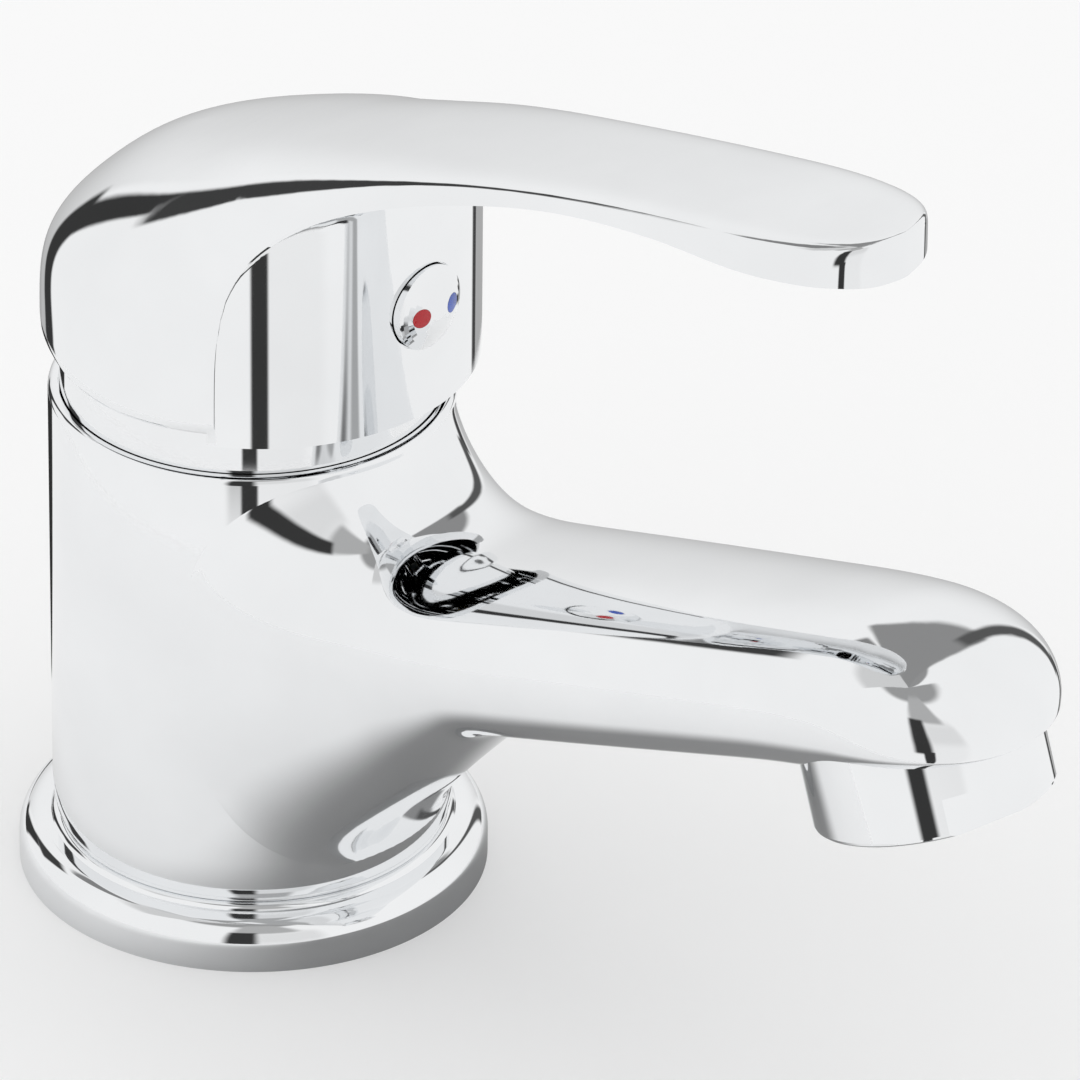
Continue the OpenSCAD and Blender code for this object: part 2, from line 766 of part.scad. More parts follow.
// Plastic insert whose square cells straighten the flow
module flow_straightener() {
    pitch = insert_r / 4;
    cell = pitch * 0.79;
    cells = 3;
    color(acetal)
        at_outlet()
            translate([0, 0, mouth_recess])
                linear_extrude(straightener_t)
                    difference() {
                        circle(r = insert_r - run_fit, $fn = small_fn);
                        for (i = [-cells : cells])
                            for (j = [-cells : cells])
                                if (norm([i, j]) < cells + 0.2)
                                    translate([i * pitch, j * pitch])
                                        square(cell, center = true);
                    }
}

// Plastic cup over the straightener, with a ring of slots that feed it
module flow_screen() {
    slots = 12;
    slot_w = 1.2;
    slot_l = insert_r / 2;
    cup_top = shoulder_top - mouth_recess - straightener_t;
    color(acetal)
        at_outlet()
            translate([0, 0, mouth_recess + straightener_t])
                difference() {
                    cylinder(r = insert_r - run_fit, h = cup_top, $fn = round_fn);
                    translate([0, 0, -eps])
                        cylinder(r = insert_r - run_fit - cup_wall, h = cup_top - screen_t, $fn = round_fn);
                    for (i = [0 : slots - 1])
                        rotate([0, 0, 360 * i / slots])
                            translate([slot_l, 0, cup_top / 2])
                                cube([slot_l, slot_w, cup_top * 2], center = true);
                }
}

module outlet_washer() {
    color(rubber)
        at_outlet()
            tube(plenum_d / 2, collar_thread_d / 2 - run_fit, shoulder_top, shoulder_top + outlet_washer_t);
}

// ---- handle ----

dome_swell = 0.056;
crown_back_slope = 0.345;
crown_tip_slope = 0.095;
crown_pace = 2.4;
wall_pace = 0.3;
wing_angle = 60;
wing_step = 0.4;
wing_lead = 6.1;
arc_steps = 18;
wing_steps = 38;
side_steps = 12;
wall_r = skirt_r - wing_step;
wing_x = skirt_shift + skirt_r * cos(wing_angle);
wing_y = skirt_r * sin(wing_angle);
half_lever = lever_w / 2;
under_h = lever_tip_h - lever_tip_t;
crown_end = lever_reach - 0.5;

// Form of the lever's lower edge. Each row: share of the way from the wing's foot to the tip,
// share of the lever's half-width, share of the wing's flare beyond that, lead of the section's
// foot over its ridge, and height of the lower edge as a share of the tip's
wing_form = [
    [0, 1, 1, 1, 0],
    [0.005, 1, 0.98, 1.02, 0.34],
    [0.015, 1, 0.935, 1.05, 0.44],
    [0.036, 1, 0.825, 1.09, 0.515],
    [0.074, 1, 0.67, 1.11, 0.605],
    [0.124, 1, 0.5, 1.07, 0.675],
    [0.186, 1, 0.34, 0.95, 0.745],
    [0.274, 1, 0.19, 0.8, 0.8],
    [0.374, 1, 0.1, 0.66, 0.875],
    [0.5, 1, 0.04, 0.43, 0.935],
    [0.67, 1, 0, 0.23, 0.98],
    [0.81, 1, 0, 0.13, 0.99],
    [0.912, 0.88, 0, 0.08, 1.005],
    [0.969, 0.64, 0, 0.07, 1.01],
    [0.993, 0.32, 0, 0.07, 1.005],
    [1, 0, 0, 0.07, 1]
];

// Form of the sections. Each row: share of the crown's length, height at which the section
// springs from the upright wall as a share of the tip's, and the section's squareness
section_form = [
    [0, 0.055, 2.5],
    [0.06, 0.08, 2.55],
    [0.14, 0.25, 2.9],
    [0.22, 0.48, 3.5],
    [0.3, 0.68, 4.2],
    [0.39, 0.81, 4.75],
    [0.5, 0.885, 5.4],
    [0.64, 0.93, 6.6],
    [0.8, 0.955, 8],
    [1, 0.98, 9]
];

// Share of the crown's length at a place x along it
function crown_share(x) = (x - dome_back_x) / (crown_end - dome_back_x);

// Height of the crown at a place x along it
function crown_z(x) =
    skirt_z + ramp(dome_back_h, lever_tip_h, crown_end - dome_back_x,
        crown_back_slope, crown_tip_slope, crown_share(x));

// Slope of the crown at a place x along it
function crown_slope(x) = (crown_z(x + eps) - crown_z(x - eps)) / (2 * eps);

// Share of the way from the wing's foot to the tip at station k
function wing_share(k) = pow(sin(90 * (k - arc_steps) / wing_steps), 2);

// Angle round the skirt at station k, from its back to the wing's foot
function arc_angle(k) = 180 - (180 - wing_angle) * k / arc_steps;

// Foot of the section at station k, seen from above, and the height of its lower edge
function foot_at(k) = k <= arc_steps
    ? let (a = arc_angle(k))
    [
        skirt_shift + skirt_r * cos(a),
        skirt_r * sin(a),
        skirt_z + skirt_back_rise * pow(max(0, (a - 90) / 90), 1.2)
    ]
    : let (u = wing_share(k))
    [
        wing_x + (lever_reach - wing_x) * u,
        max(0, half_lever * value_at(wing_form, 1, u) + (wing_y - half_lever) * value_at(wing_form, 2, u)),
        skirt_z + under_h * value_at(wing_form, 4, u)
    ];

// Place of the section's ridge along the crown at station k
function ridge_x(k) = k <= arc_steps
    ? dome_back_x + (wing_x - wing_lead - dome_back_x) * pow(k / arc_steps, crown_pace)
    : foot_at(k)[0] - wing_lead * value_at(wing_form, 3, wing_share(k));

// A point of the handle's skin: station k, step j from the lower edge to the ridge, side -1 or 1
function handle_point(k, j, side) =
    let (
        foot = foot_at(k),
        sx = ridge_x(k),
        sz = crown_z(sx),
        slope = crown_slope(sx),
        spring = skirt_z + under_h * value_at(section_form, 1, crown_share(sx)),
        p = 2 / value_at(section_form, 2, crown_share(sx)),
        peak = sz + slope * (foot[0] - sx),
        start = foot[2] <= spring
            ? (foot[2] - spring) / wall_pace
            : asin(pow(min(1, (foot[2] - spring) / (peak - spring)), 1 / p)),
        a = start + (90 - start) * j / side_steps,
        swell = dome_swell * pow(max(0, 1 - pow(k / arc_steps, 2)), 2) * sin(min(180, max(0, 3 * a))),
        out = a <= 0 ? 1 : j == side_steps ? 0 : pow(cos(a), p) + swell,
        x = sx + (foot[0] - sx) * out,
        roof = sz + slope * (x - sx)
    )
    [x, side * foot[1] * out, a <= 0 ? spring + a * wall_pace : spring + (roof - spring) * pow(sin(a), p)];

// The handle's outer form, closed underneath by a skin ruled from side to side
module handle_skin() {
    stations = arc_steps + wing_steps;
    m = side_steps;
    row = 2 * m + 1;
    skin = [for (k = [1 : stations - 1]) for (i = [0 : row - 1])
        i <= m ? handle_point(k, i, -1) : handle_point(k, 2 * m - i, 1)];
    back = [for (j = [0 : m]) handle_point(0, j, 1)];
    tip = [for (j = [0 : m]) handle_point(stations, j, 1)];
    n = len(skin);
    back_at = function(i) n + (i <= m ? i : 2 * m - i);
    tip_at = function(i) n + m + 1 + (i <= m ? i : 2 * m - i);
    at = function(k, i) k == 0 ? back_at(i) : k == stations ? tip_at(i) : (k - 1) * row + i;
    sides = [for (k = [0 : stations - 1]) for (i = [0 : row - 2])
        let (a = at(k, i), b = at(k, i + 1), c = at(k + 1, i + 1), d = at(k + 1, i))
        each [if (a != b) [a, b, c], if (c != d) [a, c, d]]];
    under = [for (k = [0 : stations - 1])
        let (a = at(k, 0), b = at(k, row - 1), c = at(k + 1, row - 1), d = at(k + 1, 0))
        each [if (a != b) [a, c, b], if (c != d) [a, d, c]]];
    polyhedron(concat(skin, back, tip), concat(sides, under), convexity = 8);
}

boss_r = 8;
boss_start = 15;
boss_cap = 1;
socket_depth = stem_top + air_gap;
screw_z = skirt_z + plug_h;
screw_boss_r = 5.4;
cavity_h = dome_back_h - 3;
cavity_square = 2.6;
cavity_steps = 10;
plug_seat_depth = 1.2;
plug_x = skirt_shift + wall_r - plug_seat_depth;
plug_shank = 4;
stem_face_x = (screw_z - pivot_z) * tan(stem_lean) + stem_w / 2 / cos(stem_lean);

// The round front of the skirt, up to the lever's underside
module front_wall() {
    overlap = 0.4;
    far_x = skirt_shift + skirt_r + overlap;
    under = [for (k = [arc_steps : arc_steps + wing_steps])
        let (b = foot_at(k))
        if (b[0] < far_x) [b[0], b[2] + overlap]];
    intersection() {
        translate([skirt_shift, 0, skirt_z])
            cylinder(r = wall_r, h = skirt_d, $fn = round_fn);
        rotate([90, 0, 0])
            linear_extrude(2 * wing_y, center = true)
                polygon(concat(
                    [[wing_x - overlap, skirt_z - 1]],
                    [[wing_x - overlap, under[0][1] + overlap]],
                    under,
                    [[far_x, under[len(under) - 1][1]], [far_x, skirt_z - 1]]));
    }
}

// The hollow inside the skirt and the dome
module dome_cavity() {
    r = skirt_r - skirt_wall;
    translate([skirt_shift, 0, skirt_z])
        rotate_extrude($fn = round_fn)
            polygon(concat(
                [[0, -1], [r, -1]],
                [for (i = [0 : cavity_steps])
                    let (a = 90 * i / cavity_steps, p = 2 / cavity_square)
                    [i == cavity_steps ? 0 : r * pow(cos(a), p), cavity_h * pow(sin(a), p)]]));
}

module handle() {
    color(chrome)
        difference() {
            union() {
                difference() {
                    union() {
                        handle_skin();
                        front_wall();
                    }
                    dome_cavity();
                }
                at_stem()
                    translate([0, 0, boss_start])
                        cylinder(r = boss_r, h = socket_depth + boss_cap - boss_start, $fn = small_fn);
                translate([0, 0, screw_z])
                    rotate([0, 90, 0])
                        cylinder(r = screw_boss_r, h = skirt_shift + skirt_r - skirt_wall, $fn = small_fn);
            }
            at_stem()
                translate([-stem_w / 2 - run_fit, -stem_w / 2 - run_fit, 0])
                    cube([stem_w + 2 * run_fit, stem_w + 2 * run_fit, socket_depth]);
            translate([0, 0, screw_z])
                rotate([0, 90, 0])
                    cylinder(d = grub_d + 2 * run_fit, h = skirt_d, $fn = small_fn);
            translate([plug_x, 0, screw_z])
                rotate([0, 90, 0])
                    cylinder(d = plug_d + 2 * loose_fit, h = skirt_d, $fn = small_fn);
        }
}

// Screw with a cone point and a hexagon socket that holds the handle on the stem
module grub_screw() {
    key = 3;
    key_depth = 3.5;
    tip_r = 1;
    cone = grub_d / 2 - tip_r;
    color(brass)
        translate([stem_face_x + loose_fit, 0, screw_z])
            rotate([0, 90, 0])
                difference() {
                    rotate_extrude($fn = small_fn)
                        polygon([[0, 0], [tip_r, 0], [grub_d / 2, cone],
                            [grub_d / 2, grub_len], [0, grub_len]]);
                    translate([0, 0, grub_len - key_depth])
                        cylinder(d = key / cos(30), h = key_depth + eps, $fn = 6);
                }
}

plug_rim = 0.5;
plug_head_h = plug_seat_depth + plug_rim;
dome_ball_r = (pow(plug_d / 2, 2) + pow(plug_dome, 2)) / (2 * plug_dome);
mark_sink = 0.4;

// Places its children on the front wall at the plug, with +Z pointing out of the wall
module at_plug() {
    translate([plug_x, 0, screw_z])
        rotate([0, 90, 0])
            children();
}

// A round post at the place of one mark; side -1 is the hot side and 1 the cold side
module mark_post(side, radius) {
    translate([0, side * mark_offset, plug_head_h + mark_sink])
        cylinder(r = radius, h = plug_dome, $fn = small_fn);
}

// Domed chrome plug over the screw's access hole
module index_plug() {
    dome_steps = 8;
    color(chrome)
        at_plug()
            difference() {
                union() {
                    rotate_extrude($fn = round_fn)
                        polygon(concat(
                            [[0, 0], [plug_d / 2, 0]],
                            [for (i = [0 : dome_steps])
                                let (r = plug_d / 2 * cos(90 * i / dome_steps))
                                [i == dome_steps ? 0 : r, plug_head_h + sqrt(pow(dome_ball_r, 2) - r * r)
                                    - dome_ball_r + plug_dome]]));
                    translate([0, 0, -plug_shank])
                        cylinder(d = grub_d - loose_fit, h = plug_shank + eps, $fn = small_fn);
                }
                for (side = [-1, 1])
                    mark_post(side, mark_d / 2);
            }
}

// One enamel mark, filling its hole in the plug's dome
module enamel(side) {
    intersection() {
        mark_post(side, mark_d / 2 - run_fit / 2);
        translate([0, 0, plug_head_h + plug_dome - dome_ball_r])
            sphere(r = dome_ball_r, $fn = round_fn);
    }
}

module hot_mark() {
    color([0.80, 0.10, 0.10])
        at_plug()
            enamel(-1);
}

module cold_mark() {
    color([0.12, 0.25, 0.75])
        at_plug()
            enamel(1);
}

body();
base_ring();
base_gasket();
cartridge_base();
port_seals();
fixed_disc();
cartridge_housing();
cartridge_nut();
cap_seal();
cap_ring();
outlet_collar();
flow_straightener();
flow_screen();
outlet_washer();
cartridge_rotor();
rotor_seal();
stem_pin();
moving_disc();
disc_carrier();
cartridge_stem();
handle();
grub_screw();
index_plug();
hot_mark();
cold_mark();
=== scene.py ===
"""Bathroom mixer faucet: chrome castings, trim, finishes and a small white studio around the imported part."""

import json
import logging
import math
from dataclasses import dataclass, field
from enum import Enum
from typing import Callable, Iterable, Optional, Sequence, Union

import bmesh
import bpy
from mathutils import Matrix, Vector

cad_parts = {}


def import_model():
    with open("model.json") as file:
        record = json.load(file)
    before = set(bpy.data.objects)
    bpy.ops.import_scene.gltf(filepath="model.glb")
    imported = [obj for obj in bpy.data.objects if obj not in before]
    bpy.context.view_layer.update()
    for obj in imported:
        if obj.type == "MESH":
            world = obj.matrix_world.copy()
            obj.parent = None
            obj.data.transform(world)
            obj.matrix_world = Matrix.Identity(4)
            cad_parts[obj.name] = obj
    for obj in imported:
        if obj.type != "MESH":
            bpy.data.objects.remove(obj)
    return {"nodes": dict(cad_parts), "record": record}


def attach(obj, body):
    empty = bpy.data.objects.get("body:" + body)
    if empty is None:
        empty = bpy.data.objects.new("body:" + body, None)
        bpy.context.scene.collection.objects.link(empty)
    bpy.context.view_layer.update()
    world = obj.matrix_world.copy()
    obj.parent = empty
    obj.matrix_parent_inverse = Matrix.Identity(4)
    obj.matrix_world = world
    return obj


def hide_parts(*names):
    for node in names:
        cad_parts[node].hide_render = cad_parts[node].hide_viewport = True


LOG = logging.getLogger("mixer_faucet")
MM = 0.001
OVERCUT = 1.0
Point = tuple[float, float, float]
Colour = tuple[float, float, float]
Socket = bpy.types.NodeSocket
Source = Union[float, Socket]


class Slot(Enum):
    """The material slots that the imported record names."""

    CHROME = "chrome"
    BRASS = "brass"
    RUBBER = "rubber"
    CERAMIC = "ceramic"
    ACETAL = "acetal"
    STEEL = "steel"
    HOT = "hot_enamel"
    COLD = "cold_enamel"


class Body(Enum):
    """The bodies that new pieces ride on."""

    MIXER = "mixer"
    LEVER = "lever"


class Board:
    """Builds one node tree, link by link."""

    def __init__(self, tree: bpy.types.NodeTree) -> None:
        """Takes the tree to build."""
        self.tree = tree

    def node(self, kind: str, **values: object) -> bpy.types.Node:
        """Adds a node and sets its input sockets.

        Args:
            kind: the node's Blender type, without "ShaderNode".
            **values: socket values by socket name, with underscores for spaces.

        Returns:
            The new node.
        """
        made = self.tree.nodes.new("ShaderNode" + kind)
        for socket, value in values.items():
            made.inputs[socket.replace("_", " ")].default_value = value
        return made

    def link(self, source: Socket, target: Socket) -> None:
        """Joins an output to an input."""
        self.tree.links.new(source, target)

    def feed(self, value: Source, target: Socket) -> None:
        """Sets a socket to a number, or joins it to another node's output.

        Args:
            value: the number or the output.
            target: the socket to set or join.
        """
        if isinstance(value, (int, float)):
            target.default_value = value
        else:
            self.link(value, target)

    def by_identifier(self, node: bpy.types.Node, identifier: str) -> Socket:
        """Finds an input that shares its name with others."""
        return next(socket for socket in node.inputs if socket.identifier == identifier)

    def math(self, operation: str, *values: Source) -> Socket:
        """Works out one step of arithmetic.

        Args:
            operation: the Math node's operation.
            *values: numbers or outputs of other nodes.

        Returns:
            The result.
        """
        made = self.node("Math")
        made.operation = operation
        for socket, value in zip(made.inputs, values):
            self.feed(value, socket)
        return made.outputs["Value"]

    def eased(self, value: Socket, start: float, end: float, low: float = 0.0, high: float = 1.0) -> Socket:
        """Eases from one number to another as a value runs between two ends.

        Args:
            value: the value that runs.
            start: where the easing begins.
            end: where it ends.
            low: the result up to the beginning.
            high: the result from the end on.

        Returns:
            The eased value.
        """
        made = self.node("MapRange", From_Min=start, From_Max=end, To_Min=low, To_Max=high)
        made.interpolation_type = "SMOOTHSTEP"
        self.link(value, made.inputs["Value"])
        return made.outputs["Result"]

    def scaled(self, coords: Socket, centre: Point, size: Point, turn: float = 0.0) -> Socket:
        """Measures coordinates from a centre, in units of a size and along turned axes.

        Args:
            coords: the coordinates.
            centre: where the new coordinates are 0.
            size: the length of a unit along each axis.
            turn: the turn of the axes round z, in degrees.

        Returns:
            The new coordinates.
        """
        made = self.node("Mapping", Location=centre, Rotation=(0.0, 0.0, math.radians(turn)), Scale=size)
        made.vector_type = "TEXTURE"
        self.link(coords, made.inputs["Vector"])
        return made.outputs["Vector"]

    def vector(self, operation: str, value: Socket, result: str) -> Socket:
        """Works out one step of vector arithmetic.

        Args:
            operation: the Vector Math node's operation.
            value: the vector.
            result: the name of the output that is wanted.

        Returns:
            The result.
        """
        made = self.node("VectorMath")
        made.operation = operation
        self.link(value, made.inputs[0])
        return made.outputs[result]

    def parts(self, vector: Socket) -> bpy.types.bpy_prop_collection:
        """Splits a vector.

        Args:
            vector: the vector to split.

        Returns:
            Its X, Y and Z outputs.
        """
        made = self.node("SeparateXYZ")
        self.link(vector, made.inputs["Vector"])
        return made.outputs

    def bearing(self, parts: bpy.types.bpy_prop_collection) -> Socket:
        """Tells the bearing of a split vector in degrees."""
        return self.math("DEGREES", self.math("ARCTAN2", parts["Y"], parts["X"]))


class NodeBoard(Board):
    """Builds one material."""

    def __init__(self, name: str) -> None:
        """Starts an empty material with a Principled shader.

        Args:
            name: the material's name.
        """
        self.material = bpy.data.materials.new(name)
        self.material.use_nodes = True
        super().__init__(self.material.node_tree)
        self.shader = self.tree.nodes["Principled BSDF"]
        self.object_coords = self.node("TexCoord").outputs["Object"]

    def stretched(self, scale: Sequence[float]) -> Socket:
        """Scales the object's own coordinates, which draws a pattern out along an axis.

        Args:
            scale: the scale along x, y and z.

        Returns:
            The mapped coordinates.
        """
        mapping = self.node("Mapping", Scale=scale)
        self.link(self.object_coords, mapping.inputs["Vector"])
        return mapping.outputs["Vector"]

    def noise(self, scale: float, detail: float, coords: Socket) -> Socket:
        """Adds a noise pattern.

        Args:
            scale: the pattern's frequency, per metre.
            detail: how many finer layers it has.
            coords: the coordinates that it follows.

        Returns:
            The noise value.
        """
        made = self.node("TexNoise", Scale=scale, Detail=detail)
        self.link(coords, made.inputs["Vector"])
        return made.outputs["Fac"]

    def ramp(self, factor: Socket, stops: Sequence[tuple[float, Colour]]) -> Socket:
        """Turns a value into colours.

        Args:
            factor: the value that runs along the ramp.
            stops: positions and their colours.

        Returns:
            The ramp's colour.
        """
        made = self.node("ValToRGB")
        elements = made.color_ramp.elements
        while len(elements) < len(stops):
            elements.new(0.5)
        for element, (position, colour) in zip(elements, stops):
            element.position = position
            element.color = (*colour, 1.0)
        self.link(factor, made.inputs["Fac"])
        return made.outputs["Color"]

    def spread(self, value: Socket, low: float, high: float) -> Socket:
        """Maps a 0 to 1 value to a range.

        Args:
            value: the value to map.
            low: the result at 0.
            high: the result at 1.

        Returns:
            The mapped value.
        """
        made = self.node("MapRange", To_Min=low, To_Max=high)
        self.link(value, made.inputs["Value"])
        return made.outputs["Result"]

    def bump(self, height: Socket, strength: float, distance: float) -> None:
        """Raises the surface by a height pattern.

        Args:
            height: the pattern.
            strength: the share of the bump that shows.
            distance: how far a height of 1 stands up, in metres.
        """
        made = self.node("Bump", Strength=strength, Distance=distance)
        self.link(height, made.inputs["Height"])
        self.link(made.outputs["Normal"], self.shader.inputs["Normal"])


@dataclass(frozen=True)
class Finish:
    """A finish with a mottled colour, an uneven gloss and a fine relief."""

    name: str
    slot: Slot
    dark: Colour
    light: Colour
    roughness: tuple[float, float]
    metallic: float = 0.0
    mottle_scale: float = 300.0
    mottle_detail: float = 3.0
    mottle_stops: tuple[float, float] = (0.3, 0.7)
    relief_scale: float = 2000.0
    relief_detail: float = 2.0
    relief: float = 0.00001
    relief_strength: float = 0.2
    stretch: tuple[float, float, float] = (1.0, 1.0, 1.0)
    coat: float = 0.0
    coat_roughness: float = 0.05

    def make(self) -> bpy.types.Material:
        """Builds the material.

        Returns:
            The finished material.
        """
        board = NodeBoard(self.name)
        coords = board.stretched(self.stretch)
        mottle = board.noise(self.mottle_scale, self.mottle_detail, coords)
        stops = list(zip(self.mottle_stops, (self.dark, self.light)))
        board.link(board.ramp(mottle, stops), board.shader.inputs["Base Color"])
        board.link(board.spread(mottle, *self.roughness), board.shader.inputs["Roughness"])
        board.shader.inputs["Metallic"].default_value = self.metallic
        board.shader.inputs["Coat Weight"].default_value = self.coat
        board.shader.inputs["Coat Roughness"].default_value = self.coat_roughness
        board.bump(board.noise(self.relief_scale, self.relief_detail, coords), self.relief_strength,
                   self.relief)
        return board.material


POLISHED_CHROME = Finish("polished_chrome", Slot.CHROME, (0.86, 0.87, 0.88), (0.90, 0.91, 0.92),
                         (0.025, 0.05), metallic=1.0, mottle_scale=60.0, relief_scale=900.0, relief=0.000002,
                         relief_strength=0.05)
CAST_BRASS = Finish("cast_brass", Slot.BRASS, (0.62, 0.43, 0.17), (0.78, 0.58, 0.27), (0.22, 0.42),
                    metallic=1.0)
BLACK_RUBBER = Finish("black_rubber", Slot.RUBBER, (0.010, 0.010, 0.011), (0.022, 0.022, 0.024), (0.55, 0.75))
WHITE_CERAMIC = Finish("white_ceramic", Slot.CERAMIC, (0.80, 0.79, 0.76), (0.88, 0.87, 0.85), (0.08, 0.16),
                       coat=0.3)
WHITE_ACETAL = Finish("white_acetal", Slot.ACETAL, (0.72, 0.72, 0.70), (0.82, 0.82, 0.80), (0.32, 0.48))
PLAIN_STEEL = Finish("plain_steel", Slot.STEEL, (0.48, 0.48, 0.47), (0.60, 0.60, 0.59), (0.22, 0.38),
                     metallic=1.0, stretch=(1.0, 1.0, 0.1))
RED_ENAMEL = Finish("red_enamel", Slot.HOT, (0.42, 0.006, 0.012), (0.52, 0.012, 0.020), (0.16, 0.26),
                    coat=0.3)
BLUE_ENAMEL = Finish("blue_enamel", Slot.COLD, (0.010, 0.055, 0.36), (0.018, 0.085, 0.50), (0.16, 0.26),
                     coat=0.3)
FINISHES = (POLISHED_CHROME, CAST_BRASS, BLACK_RUBBER, WHITE_CERAMIC, WHITE_ACETAL, PLAIN_STEEL, RED_ENAMEL,
            BLUE_ENAMEL)


@dataclass
class FinishBook:
    """Every finish of the object, made once and handed out by slot."""

    made: dict[Slot, bpy.types.Material] = field(default_factory=dict)

    def fill(self) -> None:
        """Makes the material of each slot."""
        for finish in FINISHES:
            self.made[finish.slot] = finish.make()

    def dress(self, piece: bpy.types.Object, slot: Slot) -> None:
        """Gives a new piece its finish.

        Args:
            piece: the new piece.
            slot: the slot whose finish it takes.
        """
        piece.data.materials.clear()
        piece.data.materials.append(self.made[slot])

    def dress_nodes(self, nodes: dict[str, bpy.types.Object], record: dict) -> None:
        """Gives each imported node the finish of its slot.

        Args:
            nodes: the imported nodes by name.
            record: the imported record, which names each node's slot.
        """
        for name, slot_name in node_slots(record).items():
            material = self.made[Slot(slot_name)]
            for held in nodes[name].material_slots:
                held.link = "OBJECT"
                held.material = material


def node_slots(record: dict) -> dict[str, str]:
    """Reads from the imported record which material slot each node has."""
    return {part["node"]: part["material_slot"] for part in record["subparts"]}


class Pick(Enum):
    """What a selection is made of."""

    VERTS = "VERT"
    EDGES = "EDGE"


def clear_selection() -> None:
    """Leaves object mode with nothing selected."""
    if bpy.context.object is not None and bpy.context.object.mode != "OBJECT":
        bpy.ops.object.mode_set(mode="OBJECT")
    bpy.ops.object.select_all(action="DESELECT")


class Bench:
    """One piece in the making, in millimetres until it is finished."""

    def __init__(self, name: str, add: Callable[..., object], **settings: object) -> None:
        """Adds the primitive that the piece starts from.

        Args:
            name: the piece's name.
            add: the operator that adds the primitive.
            **settings: the primitive's size and place.
        """
        clear_selection()
        add(**settings)
        self.piece = bpy.context.active_object
        self.piece.name = name
        self.piece.data.name = name

    def focus(self) -> None:
        """Makes this piece the only one selected and the active one."""
        clear_selection()
        self.piece.select_set(True)
        bpy.context.view_layer.objects.active = self.piece

    def edit(self, kind: Pick = Pick.VERTS) -> bmesh.types.BMesh:
        """Opens edit mode with nothing selected.

        Args:
            kind: what the next selections are made of.

        Returns:
            The mesh in edit mode.
        """
        if bpy.context.object is not self.piece or self.piece.mode != "EDIT":
            self.focus()
            bpy.ops.object.mode_set(mode="EDIT")
        bpy.ops.mesh.select_mode(type=kind.value)
        bpy.ops.mesh.select_all(action="DESELECT")
        return bmesh.from_edit_mesh(self.piece.data)

    def pick_verts(self, indices: Iterable[int]) -> None:
        """Selects vertices by their order of making.

        Args:
            indices: their places in that order.
        """
        mesh = self.edit()
        mesh.verts.ensure_lookup_table()
        for index in indices:
            mesh.verts[index].select = True
        mesh.select_flush(True)

    def pick_edges(self, test: Callable[[Vector, Vector], bool]) -> None:
        """Selects edges by the places of their ends.

        Args:
            test: tells from the two ends whether the edge is wanted.
        """
        mesh = self.edit(Pick.EDGES)
        for edge in mesh.edges:
            edge.select = test(edge.verts[0].co, edge.verts[1].co)
        mesh.select_flush(True)

    def pick_all(self) -> None:
        """Selects the whole piece in edit mode."""
        self.edit()
        bpy.ops.mesh.select_all(action="SELECT")

    def fill(self, test: Callable[[Vector, Vector], bool]) -> None:
        """Closes the opening inside the edges that a test of their ends picks."""
        self.pick_edges(test)
        bpy.ops.mesh.edge_face_add()

    def seal(self, gap: float = 0.001) -> None:
        """Merges the vertices that meet and turns the normals outwards.

        Args:
            gap: the distance within which vertices meet.
        """
        self.pick_all()
        bpy.ops.mesh.remove_doubles(threshold=gap)
        bpy.ops.mesh.normals_make_consistent(inside=False)
        clear_selection()

    def modify(self, kind: str, **settings: object) -> None:
        """Adds a modifier and applies it.

        Args:
            kind: the modifier's Blender type.
            **settings: the modifier's settings.
        """
        self.focus()
        bpy.ops.object.modifier_add(type=kind)
        modifier = self.piece.modifiers[-1]
        for setting, value in settings.items():
            setattr(modifier, setting, value)
        bpy.ops.object.modifier_apply(modifier=modifier.name)

    def mirror(self) -> None:
        """Completes a half that was modelled on one side of the spout's plane."""
        self.modify("MIRROR", use_axis=(False, True, False), use_clip=True, merge_threshold=0.001)
        self.seal()

    def smooth(self, levels: int) -> None:
        """Smooths the cage into its surface."""
        self.modify("SUBSURF", levels=levels, render_levels=levels)

    def combine(self, other: "Bench", operation: str) -> None:
        """Joins another form to this one, or cuts it out, and takes that form off the bench.

        Args:
            other: the form to join or cut.
            operation: UNION or DIFFERENCE.
        """
        self.modify("BOOLEAN", operation=operation, object=other.piece, solver="MANIFOLD")
        other.focus()
        bpy.ops.object.delete()

    def finish(self, crease: float = 30.0) -> bpy.types.Object:
        """Shades the piece smooth up to a crease angle and brings it to metres.

        Args:
            crease: the angle in degrees above which an edge stays sharp.

        Returns:
            The finished piece.
        """
        self.pick_all()
        bpy.ops.transform.resize(value=(MM, MM, MM), center_override=(0.0, 0.0, 0.0))
        self.focus()
        bpy.ops.object.shade_smooth_by_angle(angle=math.radians(crease))
        clear_selection()
        return self.piece


